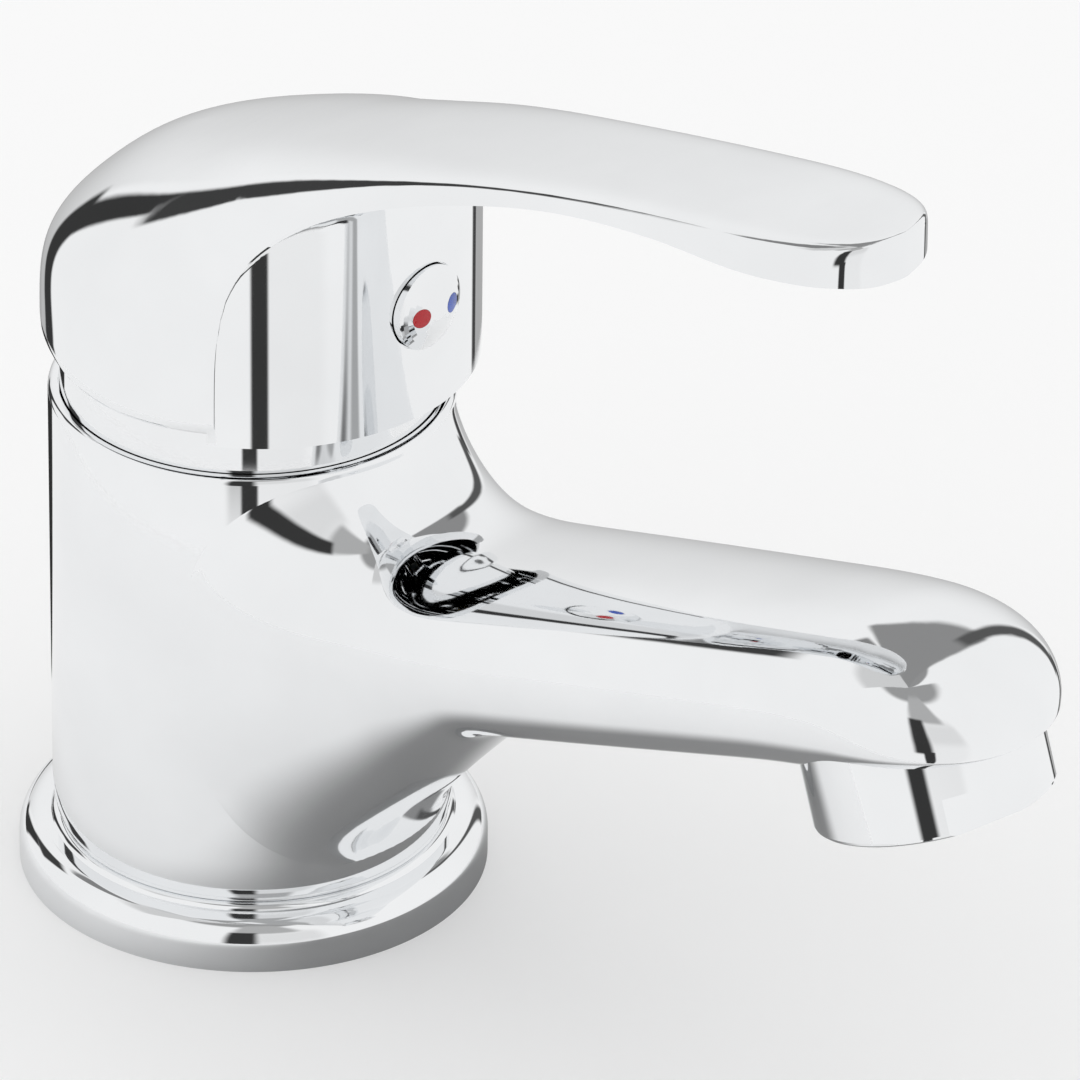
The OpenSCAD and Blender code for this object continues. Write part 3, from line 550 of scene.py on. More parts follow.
class Skin(Bench):
    """A skin drawn out of its first row, one extrusion and one seated row at a time."""

    def __init__(self, name: str, row: Sequence[Point], closed: bool = False) -> None:
        """Starts the skin with its first row.

        Args:
            name: the piece's name.
            row: the places of the first row's vertices.
            closed: whether each row is a closed ring.
        """
        super().__init__(name, bpy.ops.mesh.primitive_circle_add, vertices=len(row), radius=1.0)
        self.count = len(row)
        self.rows = 1
        if not closed:
            self.pick_verts((0, self.count - 1))
            bpy.ops.mesh.delete(type="EDGE_FACE")
        self.seat(row)

    def row_start(self) -> int:
        """Tells the first vertex of the last row."""
        return (self.rows - 1) * self.count

    def seat(self, row: Sequence[Point]) -> None:
        """Moves the vertices of the last row to their places.

        Args:
            row: the places, in order.
        """
        mesh = self.edit()
        mesh.verts.ensure_lookup_table()
        start = self.row_start()
        for vertex, place in zip(mesh.verts[start:start + self.count], row):
            vertex.select = True
            bpy.ops.transform.translate(value=Vector(place) - vertex.co)
            vertex.select = False

    def grow(self, row: Sequence[Point]) -> None:
        """Extrudes the last row and seats the new one.

        Args:
            row: the places of the new row.
        """
        start = self.row_start()
        self.pick_verts(range(start, start + self.count))
        bpy.ops.mesh.extrude_region_move(TRANSFORM_OT_translate={"value": (0.0, 0.0, 1.0)})
        self.rows += 1
        self.seat(row)

    def lathe(self, steps: int) -> None:
        """Turns the row round the vertical axis into a closed form.

        Args:
            steps: the number of steps round the axis.
        """
        self.pick_verts(range(self.count))
        bpy.ops.mesh.spin(steps=steps, angle=2.0 * math.pi, center=(0.0, 0.0, 0.0), axis=(0.0, 0.0, 1.0))
        self.seal()


def hermite(z0: float, z1: float, run: float, slope0: float, slope1: float, t: float) -> float:
    """Reads, at a share t of a run, the smooth rise from z0 to z1 with a given slope at each end."""
    return ((2 * t**3 - 3 * t**2 + 1) * z0 + (t**3 - 2 * t**2 + t) * run * slope0
            + (3 * t**2 - 2 * t**3) * z1 + (t**3 - t**2) * run * slope1)


@dataclass(frozen=True)
class Curve:
    """A smooth curve through rows of place and value."""

    rows: tuple[tuple[float, float], ...]

    def slope(self, index: int) -> float:
        """Tells the curve's slope at a row.

        Args:
            index: the row's number.

        Returns:
            The slope there.
        """
        before = self.rows[max(index - 1, 0)]
        after = self.rows[min(index + 1, len(self.rows) - 1)]
        return (after[1] - before[1]) / (after[0] - before[0])

    def at(self, place: float) -> float:
        """Reads the curve.

        Args:
            place: where along the curve.

        Returns:
            The value there.
        """
        index = 0
        while index < len(self.rows) - 2 and place > self.rows[index + 1][0]:
            index += 1
        (x0, z0), (x1, z1) = self.rows[index], self.rows[index + 1]
        share = min(1.0, max(0.0, (place - x0) / (x1 - x0)))
        return hermite(z0, z1, x1 - x0, self.slope(index), self.slope(index + 1), share)


def signed_power(base: float, power: float) -> float:
    """Raises a number to a power and keeps its sign."""
    return math.copysign(abs(base) ** power, base)


def arc(x: float, z: float, rx: float, rz: float, start: float, end: float, steps: int) -> list[Point]:
    """Draws an elliptical arc in the plane of the spout, between two angles in degrees."""
    angles = [math.radians(start + (end - start) * i / steps) for i in range(steps + 1)]
    return [(x + rx * math.cos(a), 0.0, z + rz * math.sin(a)) for a in angles]


def upright(x: float, y: float, z0: float, z1: float, radius: float, sides: int = 64) -> Bench:
    """Adds an upright cylinder between two heights, for a cut or a boss."""
    return Bench("cutter", bpy.ops.mesh.primitive_cylinder_add, vertices=sides, radius=radius, depth=z1 - z0,
                 location=(x, y, (z0 + z1) / 2))


@dataclass
class Column:
    """The upright casting: spigot, foot, wall, rim, mouth and cartridge chamber."""

    radius: float = 23.0
    height: float = 62.0
    rim_round: float = 0.8
    foot_tuck: float = 0.9
    foot_tuck_h: float = 5.5
    foot_z: float = 6.4
    spigot_r: float = 20.1
    gasket_t: float = 2.0
    ledge_r: float = 21.85
    ledge_depth: float = 2.0
    mouth_r: float = 19.3
    mouth_depth: float = 7.5
    chamber_r: float = 17.65
    chamber_z: float = 34.0
    hollow_r: float = 17.5
    hollow_z: float = 6.0
    inlet_y: float = 8.0
    inlet_r: float = 4.5
    inlet_top: float = 18.0
    duct_r: float = 3.2
    stud_x: float = 12.5
    stud_r: float = 2.5
    mixed_x: float = -9.0
    mixed_z: float = 21.2
    mixed_r: float = 3.0
    foot_steps: int = 12
    rim_steps: int = 8
    steps: int = 160

    def profile(self) -> list[Point]:
        """Draws half of the column's section.

        Returns:
            The profile's points, from the hollow underneath round to the chamber's floor.
        """
        under = [(0.0, 0.0, self.hollow_z), (self.hollow_r, 0.0, self.hollow_z),
                 (self.hollow_r, 0.0, self.gasket_t), (self.spigot_r, 0.0, self.gasket_t),
                 (self.spigot_r, 0.0, self.foot_z)]
        foot = arc(self.radius - self.foot_tuck, self.foot_z + self.foot_tuck_h, self.foot_tuck,
                   self.foot_tuck_h, -90.0, 0.0, self.foot_steps)
        rim = arc(self.radius - self.rim_round, self.height - self.rim_round, self.rim_round, self.rim_round,
                  0.0, 90.0, self.rim_steps)
        mouth_z = self.height - self.mouth_depth
        ledge_z = self.height - self.ledge_depth
        inside = [(self.ledge_r, 0.0, self.height), (self.ledge_r, 0.0, ledge_z),
                  (self.mouth_r, 0.0, ledge_z), (self.mouth_r, 0.0, mouth_z), (self.chamber_r, 0.0, mouth_z),
                  (self.chamber_r, 0.0, self.chamber_z), (0.0, 0.0, self.chamber_z)]
        return under + foot + rim + inside

    def build(self) -> Skin:
        """Turns the profile and drills the inlets, stud holes and ports.

        Returns:
            The column on the bench.
        """
        column = Skin("body_casting", self.profile())
        column.lathe(self.steps)
        low, high = self.hollow_z - OVERCUT, self.chamber_z + OVERCUT
        drillings = []
        for side in (-1.0, 1.0):
            drillings += [(0.0, side * self.inlet_y, low, self.inlet_top, self.inlet_r),
                          (0.0, side * self.inlet_y, self.inlet_top - OVERCUT, high, self.duct_r),
                          (side * self.stud_x, 0.0, low, self.inlet_top, self.stud_r)]
        drillings.append((self.mixed_x, 0.0, self.mixed_z, high, self.mixed_r))
        for drilling in drillings:
            column.combine(upright(*drilling), "DIFFERENCE")
        return column


@dataclass
class Spout:
    """The cast spout: a squarish tube that grows out of the column in one long fillet, with a round nose."""

    column_r: float = 23.0
    rim_z: float = 61.2
    sink: float = 0.03
    rise: float = 16.6
    root_z: float = 33.4
    width: float = 32.4
    root_t: float = 21.3
    nose_t: float = 18.3
    root_square: float = 2.6
    nose_square: float = 2.4
    reach: float = 113.2
    nose_w: float = 29.4
    plan_len: float = 16.0
    side_len: float = 21.0
    plan_round: float = 2.1
    top_round: float = 2.0
    under_round: float = 1.2
    drop: float = 6.7
    bow_len: float = 28.0
    fillet_top_len: float = 15.0
    fillet_top: float = 12.7
    fillet_side_len: float = 10.0
    fillet_side: float = 11.8
    web_len: float = 20.0
    web_h: float = 21.0
    web_power: float = 0.46
    rim_release: float = 12.0
    heel_share: float = 0.93
    outlet_setback: float = 12.9
    outlet_drop: float = 13.5
    outlet_lean: float = 18.0
    collar_r: float = 13.65
    collar_len: float = 10.5
    thread_r: float = 12.05
    socket_top: float = 16.5
    socket_below: float = 20.0
    socket_sides: int = 96
    half_steps: int = 20
    root_steps: int = 14
    trunk_steps: int = 8
    nose_steps: int = 12

    @property
    def nose_start(self) -> float:
        """Tells where the nose begins to round off."""
        return self.reach - self.side_len

    @property
    def root_end(self) -> float:
        """Tells where the last fillet ends."""
        return self.column_r + self.web_len

    @property
    def outlet_x(self) -> float:
        """Tells how far out the outlet's mouth is."""
        return self.reach - self.outlet_setback

    def fillet_t(self, d: float, length: float) -> float:
        """Tells how far a distance lies along a fillet of a given length."""
        return min(1.0, max(0.0, (d - self.column_r + self.sink) / (length + self.sink)))

    def fillet_share(self, d: float, length: float) -> float:
        """Tells the share of a fillet's height that is left at a distance."""
        return 1.0 - math.sqrt(1.0 - (1.0 - self.fillet_t(d, length)) ** 2)

    def nose_share(self, d: float, length: float, roundness: float) -> float:
        """Tells how much of the section a nose of a given length and roundness leaves at a distance."""
        into = max(0.0, (d - self.reach + length) / length)
        return max(0.0, 1.0 - into**roundness) ** (1.0 / roundness)

    def spine_z(self, d: float) -> float:
        """Tells the height of the spout's centreline at a distance."""
        bow = max(0.0, (d - self.reach + self.bow_len) / self.bow_len)
        return self.root_z + d * math.tan(math.radians(self.rise)) - self.drop * bow**2

    def section(self, d: float) -> list[Point]:
        """Draws half of the spout's section, from its underside to its top.

        Args:
            d: the section's distance from the column's axis.

        Returns:
            The half section's points.
        """
        trunk = (d - self.column_r) / (self.nose_start - self.column_r)
        share = min(1.0, max(0.0, 2 * trunk - 1))
        power = 2.0 / (self.root_square + (self.nose_square - self.root_square) * share)
        taper = min(1.0, max(0.0, (d - self.root_end) / (self.outlet_x - self.root_end)))
        half_h = (self.root_t + (self.nose_t - self.root_t) * trunk) / 2
        half_w = (self.width + (self.nose_w - self.width) * taper) / 2
        out = half_w * self.nose_share(d, self.plan_len, self.plan_round) \
            + self.fillet_side * self.fillet_share(d, self.fillet_side_len)
        above = half_h * self.nose_share(d, self.side_len, self.top_round) \
            + self.fillet_top * self.fillet_share(d, self.fillet_top_len)
        under = half_h * self.nose_share(d, self.side_len, self.under_round) \
            + self.web_h * self.fillet_share(d, self.web_len) ** self.web_power
        wrap = 1.0 - self.fillet_t(d, self.web_len)
        below_rim = min(1.0, self.fillet_t(d, self.fillet_top_len) * self.rim_release)
        points = []
        for step in range(self.half_steps + 1):
            a = math.radians(-90.0 + 180.0 * step / self.half_steps)
            u = 0.0 if step in (0, self.half_steps) else out * math.cos(a) ** power
            z = self.spine_z(d) + (above if a > 0 else under) * signed_power(math.sin(a), power)
            z = min(z, self.rim_z) + max(0.0, z - self.rim_z) * below_rim
            theta = u / d
            points.append((wrap * d * math.cos(theta) + (1 - wrap) * d,
                           wrap * d * math.sin(theta) + (1 - wrap) * u, z))
        return points

    def stations(self) -> list[float]:
        """Spaces the sections, close together in the fillet and at the nose.

        Returns:
            The sections' distances from the column's axis.
        """
        run = self.web_len + self.sink
        root = [self.column_r - self.sink + run * (1 - math.cos(math.pi / 2 * i / self.root_steps))
                for i in range(self.root_steps)]
        trunk = [self.root_end + (self.nose_start - self.root_end) * i / self.trunk_steps
                 for i in range(self.trunk_steps)]
        nose = [self.nose_start + self.side_len * math.sin(math.pi / 2 * i / self.nose_steps)
                for i in range(self.nose_steps)]
        return root + trunk + nose

    def build(self) -> Skin:
        """Draws the spout out of the column, closes its nose and cuts the outlet's socket.

        Returns:
            The spout on the bench.
        """
        stations = self.stations()
        first = self.section(stations[0])
        heel = [(x * self.heel_share, y * self.heel_share, z) for x, y, z in first]
        spout = Skin("spout_casting", heel)
        spout.grow(first)
        for d in stations[1:]:
            spout.grow(self.section(d))
        spout.mirror()
        hair = 0.01
        tip_x = stations[-1] - hair
        spout.pick_edges(lambda a, b: min(a.x, b.x) > tip_x)
        bpy.ops.mesh.fill_grid(span=self.half_steps // 2)
        heel_r = self.column_r * self.heel_share + hair
        spout.fill(lambda a, b: max(a.xy.length, b.xy.length) < heel_r)
        spout.seal()
        spout.smooth(2)
        spout.combine(self.socket(-self.socket_below, self.collar_len, self.collar_r), "DIFFERENCE")
        spout.combine(self.socket(0.0, self.socket_top, self.thread_r), "DIFFERENCE")
        return spout

    def socket(self, start: float, end: float, radius: float) -> Bench:
        """Makes a cutter on the outlet's axis.

        Args:
            start: its lower end above the outlet's mouth.
            end: its upper end above the outlet's mouth.
            radius: its radius.

        Returns:
            The leaning cylinder on the bench.
        """
        lean = math.radians(self.outlet_lean)
        middle = (start + end) / 2
        mouth_z = self.spine_z(self.outlet_x) - self.outlet_drop
        at = (self.outlet_x - middle * math.sin(lean), 0.0, mouth_z + middle * math.cos(lean))
        return Bench("cutter", bpy.ops.mesh.primitive_cylinder_add, vertices=self.socket_sides, radius=radius,
                     depth=end - start, location=at, rotation=(0.0, -lean, 0.0))


@dataclass
class Casting:
    """The whole body casting: the column with its spout."""

    column: Column = field(default_factory=Column)
    spout: Spout = field(default_factory=Spout)

    def build(self, book: FinishBook) -> bpy.types.Object:
        """Models the casting and dresses it.

        Args:
            book: the finishes.

        Returns:
            The finished casting.
        """
        column = self.column.build()
        spout = self.spout.build()
        column.focus()
        spout.piece.select_set(True)
        bpy.ops.object.join()
        piece = column.finish()
        book.dress(piece, Slot.CHROME)
        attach(piece, Body.MIXER.value)
        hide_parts("body")
        return piece


@dataclass
class BaseRing:
    """The turned ring under the column: a bead at the column, a rolled edge and a recess for the gasket."""

    bore_r: float = 20.25
    seat_z: float = 6.4
    bead_x: float = 22.25
    bead_r: float = 1.1
    roll_x: float = 24.0
    roll_r: float = 2.9
    recess_r: float = 24.15
    recess_z: float = 2.0
    bead_steps: int = 8
    roll_steps: int = 20
    steps: int = 192

    def build(self, book: FinishBook) -> bpy.types.Object:
        """Turns the ring and dresses it.

        Args:
            book: the finishes.

        Returns:
            The finished ring.
        """
        bead = arc(self.bead_x, self.seat_z - self.bead_r, self.bead_r, self.bead_r, 90.0, 30.0,
                   self.bead_steps)
        roll = arc(self.roll_x, self.roll_r, self.roll_r, self.roll_r, 90.0, 0.0, self.roll_steps)
        bore = [(self.bore_r, 0.0, self.recess_z), (self.bore_r, 0.0, self.seat_z)]
        under = [(self.roll_x + self.roll_r, 0.0, 0.0), (self.recess_r, 0.0, 0.0),
                 (self.recess_r, 0.0, self.recess_z)]
        ring = Skin("base_ring_turned", bore + bead + roll + under, closed=True)
        ring.lathe(self.steps)
        piece = ring.finish()
        book.dress(piece, Slot.CHROME)
        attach(piece, Body.MIXER.value)
        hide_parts("base_ring")
        return piece


@dataclass
class HandleShell:
    """The cast handle: a domed skirt over the cartridge that runs out into one flat lever.

    Three curves run along the wing, from its foot to the tip: plan is the lever's half width, lead is how
    far the foot lies ahead of the ridge, and edge shapes the rise of the lower edge. Two run along the crown:
    spring is the height at which the side bends over into the roof, and square is how squarely it bends.
    """

    skirt_r: float = 25.0
    skirt_shift: float = 1.6
    skirt_z: float = 67.5
    back_rise: float = 3.5
    back_rise_power: float = 1.2
    wall_r: float = 24.6
    cavity_r: float = 23.0
    cavity_h: float = 22.4
    cavity_square: float = 2.6
    cavity_steps: int = 24
    cavity_sides: int = 96
    reach: float = 94.0
    half_lever: float = 10.45
    crown_back_x: float = -6.2
    crown_back_h: float = 25.4
    crown_back_slope: float = 0.345
    tip_h: float = 48.0
    tip_t: float = 5.5
    tip_slope: float = 0.095
    tip_inset: float = 0.5
    swell: float = 0.06
    crown_pace: float = 2.4
    wall_pace: float = 0.3
    wing_angle: float = 60.0
    wing_lead: float = 6.1
    wing_tuck: float = 0.3
    tuck_turn: float = 82.0
    flare_run: float = 0.68
    flare_power: float = 3.3
    edge_power: float = 0.22
    side_steps: int = 14
    wall_steps: int = 96
    edge_steps: int = 72
    cove: float = 3.0
    cove_steps: int = 6
    least_cove: float = 0.05
    cove_share: float = 0.9
    guard: float = 0.5
    wall_overrun: float = 2.0
    wall_back: float = 13.5
    wall_least: float = 0.6
    wall_rise: float = 0.02
    wall_drop: float = 2.5
    overlap: float = 0.3
    clear: float = 5.0
    screw_z: float = 81.1
    screw_r: float = 3.05
    screw_boss_r: float = 5.4
    plug_r: float = 5.15
    plug_seat_x: float = 25.0
    stem_lean: float = 12.5
    stem_half: float = 4.05
    stem_top: float = 31.3
    pivot_z: float = 60.0
    boss_r: float = 8.0
    boss_start: float = 15.0
    bore_end: float = 40.0
    bore_sides: int = 96
    boss_sides: int = 48
    arc_turns: tuple[float, ...] = (180.0, 172.0, 164.0, 156.0, 148.0, 140.0, 132.0, 124.0, 116.0, 108.0,
                                    101.0, 94.0, 88.0, 82.5, 77.5, 73.0, 69.0, 65.8, 62.8, 60.0)
    wing_shares: tuple[float, ...] = (0.015, 0.031, 0.048, 0.067, 0.088, 0.111, 0.136, 0.164, 0.195, 0.229,
                                      0.265, 0.303, 0.343, 0.385, 0.429, 0.474, 0.52, 0.566, 0.612, 0.658,
                                      0.703, 0.746, 0.786, 0.823, 0.856, 0.885, 0.91, 0.932, 0.95, 0.965,
                                      0.977, 0.986, 0.993, 0.998, 1.0)
    plan: Curve = Curve(((0.0, 1.0), (0.67, 1.0), (0.81, 1.0), (0.912, 0.88), (0.969, 0.64), (0.993, 0.32),
                         (1.0, 0.0)))
    lead: Curve = Curve(((0.0, 1.0), (0.005, 1.02), (0.015, 1.05), (0.036, 1.09), (0.074, 1.11),
                         (0.124, 1.07), (0.186, 0.95), (0.274, 0.8), (0.374, 0.66), (0.5, 0.43), (0.67, 0.23),
                         (0.81, 0.13), (0.912, 0.08), (1.0, 0.07)))
    edge: Curve = Curve(((0.0, 1.09), (0.3, 1.085), (0.5, 1.09), (0.67, 1.07), (0.81, 1.037), (0.912, 1.025),
                         (0.969, 1.017), (1.0, 1.0)))
    spring: Curve = Curve(((0.0, 0.055), (0.06, 0.08), (0.14, 0.25), (0.22, 0.48), (0.3, 0.68), (0.39, 0.81),
                           (0.5, 0.885), (0.64, 0.93), (0.8, 0.955), (1.0, 0.98)))
    square: Curve = Curve(((0.0, 2.5), (0.06, 2.55), (0.14, 2.9), (0.22, 3.5), (0.3, 4.2), (0.39, 4.75),
                           (0.5, 5.4), (0.64, 6.6), (0.8, 8.0), (1.0, 9.0)))

    @property
    def under_h(self) -> float:
        """Tells the height of the tip's underside above the skirt's edge."""
        return self.tip_h - self.tip_t

    @property
    def wing_x(self) -> float:
        """Tells where the lever's edge leaves the skirt, along the spout."""
        return self.skirt_shift + (self.skirt_r - self.wing_tuck) * math.cos(math.radians(self.wing_angle))

    @property
    def wing_y(self) -> float:
        """Tells where the lever's edge leaves the skirt, across the spout."""
        return (self.skirt_r - self.wing_tuck) * math.sin(math.radians(self.wing_angle))

    @property
    def crown_run(self) -> float:
        """Tells the length of the crown."""
        return self.reach - self.tip_inset - self.crown_back_x

    def crown_share(self, x: float) -> float:
        """Tells the share of the crown's length at a place along it."""
        return (x - self.crown_back_x) / self.crown_run

    def crown_z(self, x: float) -> float:
        """Tells the crown's height at a place along it."""
        return self.skirt_z + hermite(self.crown_back_h, self.tip_h, self.crown_run, self.crown_back_slope,
                                      self.tip_slope, self.crown_share(x))

    def crown_slope(self, x: float, hair: float = 0.01) -> float:
        """Tells the crown's slope at a place along it."""
        return (self.crown_z(x + hair) - self.crown_z(x - hair)) / (2 * hair)

    def arc_share(self, turn: float) -> float:
        """Tells how far a bearing lies between the back and the wing's foot."""
        return (180.0 - turn) / (180.0 - self.wing_angle)

    def foot(self, turn: float, share: float) -> Point:
        """Places the lower edge.

        Args:
            turn: the bearing round the skirt, 180 at the back.
            share: how far the place lies between the wing's foot and the tip.

        Returns:
            The edge's place.
        """
        if share <= 0.0:
            a = math.radians(turn)
            rise = self.back_rise * max(0.0, (turn - 90.0) / 90.0) ** self.back_rise_power
            near = max(0.0, (self.tuck_turn - turn) / (self.tuck_turn - self.wing_angle))
            r = self.skirt_r - self.wing_tuck * near ** 2
            return (self.skirt_shift + r * math.cos(a), r * math.sin(a), self.skirt_z + rise)
        flare = max(0.0, 1.0 - share / self.flare_run) ** self.flare_power
        half = self.half_lever * self.plan.at(share) + (self.wing_y - self.half_lever) * flare
        return (self.wing_x + (self.reach - self.wing_x) * share, max(0.0, half),
                self.skirt_z + self.under_h * share ** self.edge_power * self.edge.at(share))

    def ridge_x(self, turn: float, share: float) -> float:
        """Places a section's ridge along the crown.

        Args:
            turn: the section's bearing on the skirt.
            share: its share of the way along the wing.

        Returns:
            The ridge's distance along the spout.
        """
        if share <= 0.0:
            run = self.wing_x - self.wing_lead - self.crown_back_x
            return self.crown_back_x + run * self.arc_share(turn) ** self.crown_pace
        return self.foot(turn, share)[0] - self.wing_lead * self.lead.at(share)

    def section(self, turn: float, share: float, low: Optional[float] = None) -> list[Point]:
        """Draws half a section, from the middle of the underside round the edge to the ridge.

        Args:
            turn: the bearing round the skirt, 180 at the back.
            share: how far the section lies between the wing's foot and the tip.
            low: the height at which the section starts, or None for the lower edge's.

        Returns:
            The half section's points.
        """
        foot_x, foot_y, foot_z = self.foot(turn, share)
        low_z = foot_z if low is None else low
        sx = self.ridge_x(turn, share)
        sz = self.crown_z(sx)
        slope = self.crown_slope(sx)
        spring = self.skirt_z + self.under_h * self.spring.at(self.crown_share(sx))
        p = 2.0 / self.square.at(self.crown_share(sx))
        peak = sz + slope * (foot_x - sx)
        if low_z <= spring:
            start = (low_z - spring) / self.wall_pace
        else:
            start = math.degrees(math.asin(min(1.0, (low_z - spring) / (peak - spring)) ** (1 / p)))
        fade = max(0.0, 1.0 - self.arc_share(turn) ** 2) ** 2
        points = [(foot_x, 0.0, low_z)]
        for step in range(self.side_steps + 1):
            a = start + (90.0 - start) * step / self.side_steps
            if a <= 0:
                points.append((foot_x, foot_y, spring + a * self.wall_pace))
                continue
            puff = self.swell * fade * math.sin(math.radians(min(180.0, 3 * a))) ** 2
            out = 0.0 if step == self.side_steps else math.cos(math.radians(a)) ** p + puff
            x = sx + (foot_x - sx) * out
            roof = sz + slope * (x - sx)
            points.append((x, foot_y * out, spring + (roof - spring) * math.sin(math.radians(a)) ** p))
        return points

    def low_z(self, share: float) -> float:
        """Tells how low a wing section has to start, so that the skin's columns run on evenly."""
        springs = [self.spring.at(self.crown_share(self.ridge_x(self.wing_angle, s))) for s in (share, 0.0)]
        return self.skirt_z + self.under_h * (springs[0] - springs[1])

    def lower_edge(self) -> list[Point]:
        """Draws one side of the lever's lower edge, from the wing's foot to the tip."""
        shares = [math.sin(math.pi / 2 * step / self.edge_steps) ** 3
                  for step in range(1, self.edge_steps + 1)]
        foot = self.foot(self.wing_angle, 0.0)
        return [foot] + [self.section(self.wing_angle, share)[1] for share in shares]

    def skin(self) -> Skin:
        """Draws the outer form from the back to the tip and cuts it off along the lower edge.

        Returns:
            The skin on the bench, closed underneath.
        """
        skin = Skin("handle_casting", self.section(self.arc_turns[0], 0.0))
        for turn in self.arc_turns[1:]:
            skin.grow(self.section(turn, 0.0))
        for share in self.wing_shares:
            skin.grow(self.section(self.wing_angle, share, self.low_z(share)))
        skin.mirror()
        skin.smooth(2)
        skin.combine(self.hollow_under(), "DIFFERENCE")
        return skin

    def hollow_under(self) -> Skin:
        """Makes the cutter for the space under the lever.

        Returns:
            The cutter on the bench.
        """
        half, end_x, floor_z = self.skirt_r + self.clear, self.reach + self.clear, self.skirt_z - self.clear
        edge = [(x, -half, z) for x, _, z in self.lower_edge()]
        outline = [(self.wing_x, -half, floor_z)] + edge
        outline += [(end_x, -half, edge[-1][2]), (end_x, -half, floor_z)]
        cutter = Skin("cutter", outline, closed=True)
        cutter.grow([(x, half, z) for x, _, z in outline])
        for side in (-1.0, 1.0):
            cutter.fill(lambda a, b: a.y * side > 0 and b.y * side > 0)
        cutter.seal()
        return cutter

    def wall_row(self, turn: float, under: Curve, brim: Curve) -> list[Point]:
        """Draws one upright section of the skirt's front, with a cove under the lever.

        Args:
            turn: the section's bearing.
            under: the height of the lever's lower edge by its place along the spout.
            brim: the radius of the lower edge by its bearing, which runs from below 0 up to 0.

        Returns:
            The section's points, in a ring.
        """
        c, s = math.cos(math.radians(turn)), math.sin(math.radians(turn))
        cove = max(self.least_cove, min(self.cove, self.cove_share * (brim.at(-abs(turn)) - self.wall_r)))
        lip_r = self.wall_r + cove
        top = max(self.skirt_z + 2 * self.cove + self.guard, under.at(self.skirt_shift + lip_r * c)
                  + self.wall_rise)
        back = min(self.wall_r - self.wall_least, (self.wall_back - self.skirt_shift) / c)
        inner = top - min(self.wall_drop, 0.5 * (top - self.skirt_z))
        rim = [(self.wall_r, self.skirt_z), (self.wall_r, top - cove - self.guard)]
        for step in range(self.cove_steps + 1):
            a = math.pi / 2 * step / self.cove_steps
            rim.append((self.wall_r + cove * (1 - math.cos(a)), top - cove + cove * math.sin(a)))
        rim += [(lip_r, top + self.overlap), (back, inner), (back, self.skirt_z)]
        return [(self.skirt_shift + r * c, r * s, z) for r, z in rim]

    def front_wall(self) -> Skin:
        """Draws the skirt's round front.

        Returns:
            The wall on the bench.
        """
        edge = self.lower_edge()
        under = Curve(tuple((x, z) for x, _, z in edge[::2]))
        brim = Curve(tuple((-math.degrees(math.atan2(y, x - self.skirt_shift)),
                            math.hypot(x - self.skirt_shift, y)) for x, y, _ in edge[:-4:2]))
        end, hair = self.wing_angle + self.wall_overrun, 1e-4
        turns = [-end + 2 * end * step / self.wall_steps for step in range(self.wall_steps + 1)]
        wall = Skin("cutter", self.wall_row(turns[0], under, brim), closed=True)
        for turn in turns[1:]:
            wall.grow(self.wall_row(turn, under, brim))
        limit = math.radians(end) - hair
        for side in (-1.0, 1.0):
            wall.fill(lambda a, b: all(side * math.atan2(v.y, v.x - self.skirt_shift) > limit
                                       for v in (a, b)))
        wall.seal()
        return wall

    def cavity(self) -> Skin:
        """Turns the hollow of the skirt and dome.

        Returns:
            The cutter on the bench.
        """
        p = 2.0 / self.cavity_square
        profile = [(0.0, 0.0, self.skirt_z - OVERCUT), (self.cavity_r, 0.0, self.skirt_z - OVERCUT)]
        for step in range(self.cavity_steps + 1):
            a = math.pi / 2 * step / self.cavity_steps
            r = 0.0 if step == self.cavity_steps else self.cavity_r * math.cos(a) ** p
            profile.append((r, 0.0, self.skirt_z + self.cavity_h * math.sin(a) ** p))
        hollow = Skin("cutter", profile)
        hollow.lathe(self.cavity_sides)
        hollow.pick_all()
        bpy.ops.transform.translate(value=(self.skirt_shift, 0.0, 0.0))
        return hollow

    def on_stem(self, add: Callable[..., object], start: float, end: float, **settings: object) -> Bench:
        """Adds a form along the leaning stem.

        Args:
            add: the operator that adds the primitive.
            start: the form's lower end along the stem.
            end: the form's upper end along the stem.
            **settings: the primitive's other sizes.

        Returns:
            The form on the bench.
        """
        lean = math.radians(self.stem_lean)
        middle = (start + end) / 2
        at = (middle * math.sin(lean), 0.0, self.pivot_z + middle * math.cos(lean))
        return Bench("cutter", add, location=at, rotation=(0.0, lean, 0.0), **settings)

    def across(self, x0: float, x1: float, radius: float) -> Bench:
        """Adds a level cylinder on the grub screw's line, between two distances from the axis."""
        return Bench("cutter", bpy.ops.mesh.primitive_cylinder_add, vertices=self.bore_sides, radius=radius,
                     depth=x1 - x0, location=((x0 + x1) / 2, 0.0, self.screw_z),
                     rotation=(0.0, math.pi / 2, 0.0))

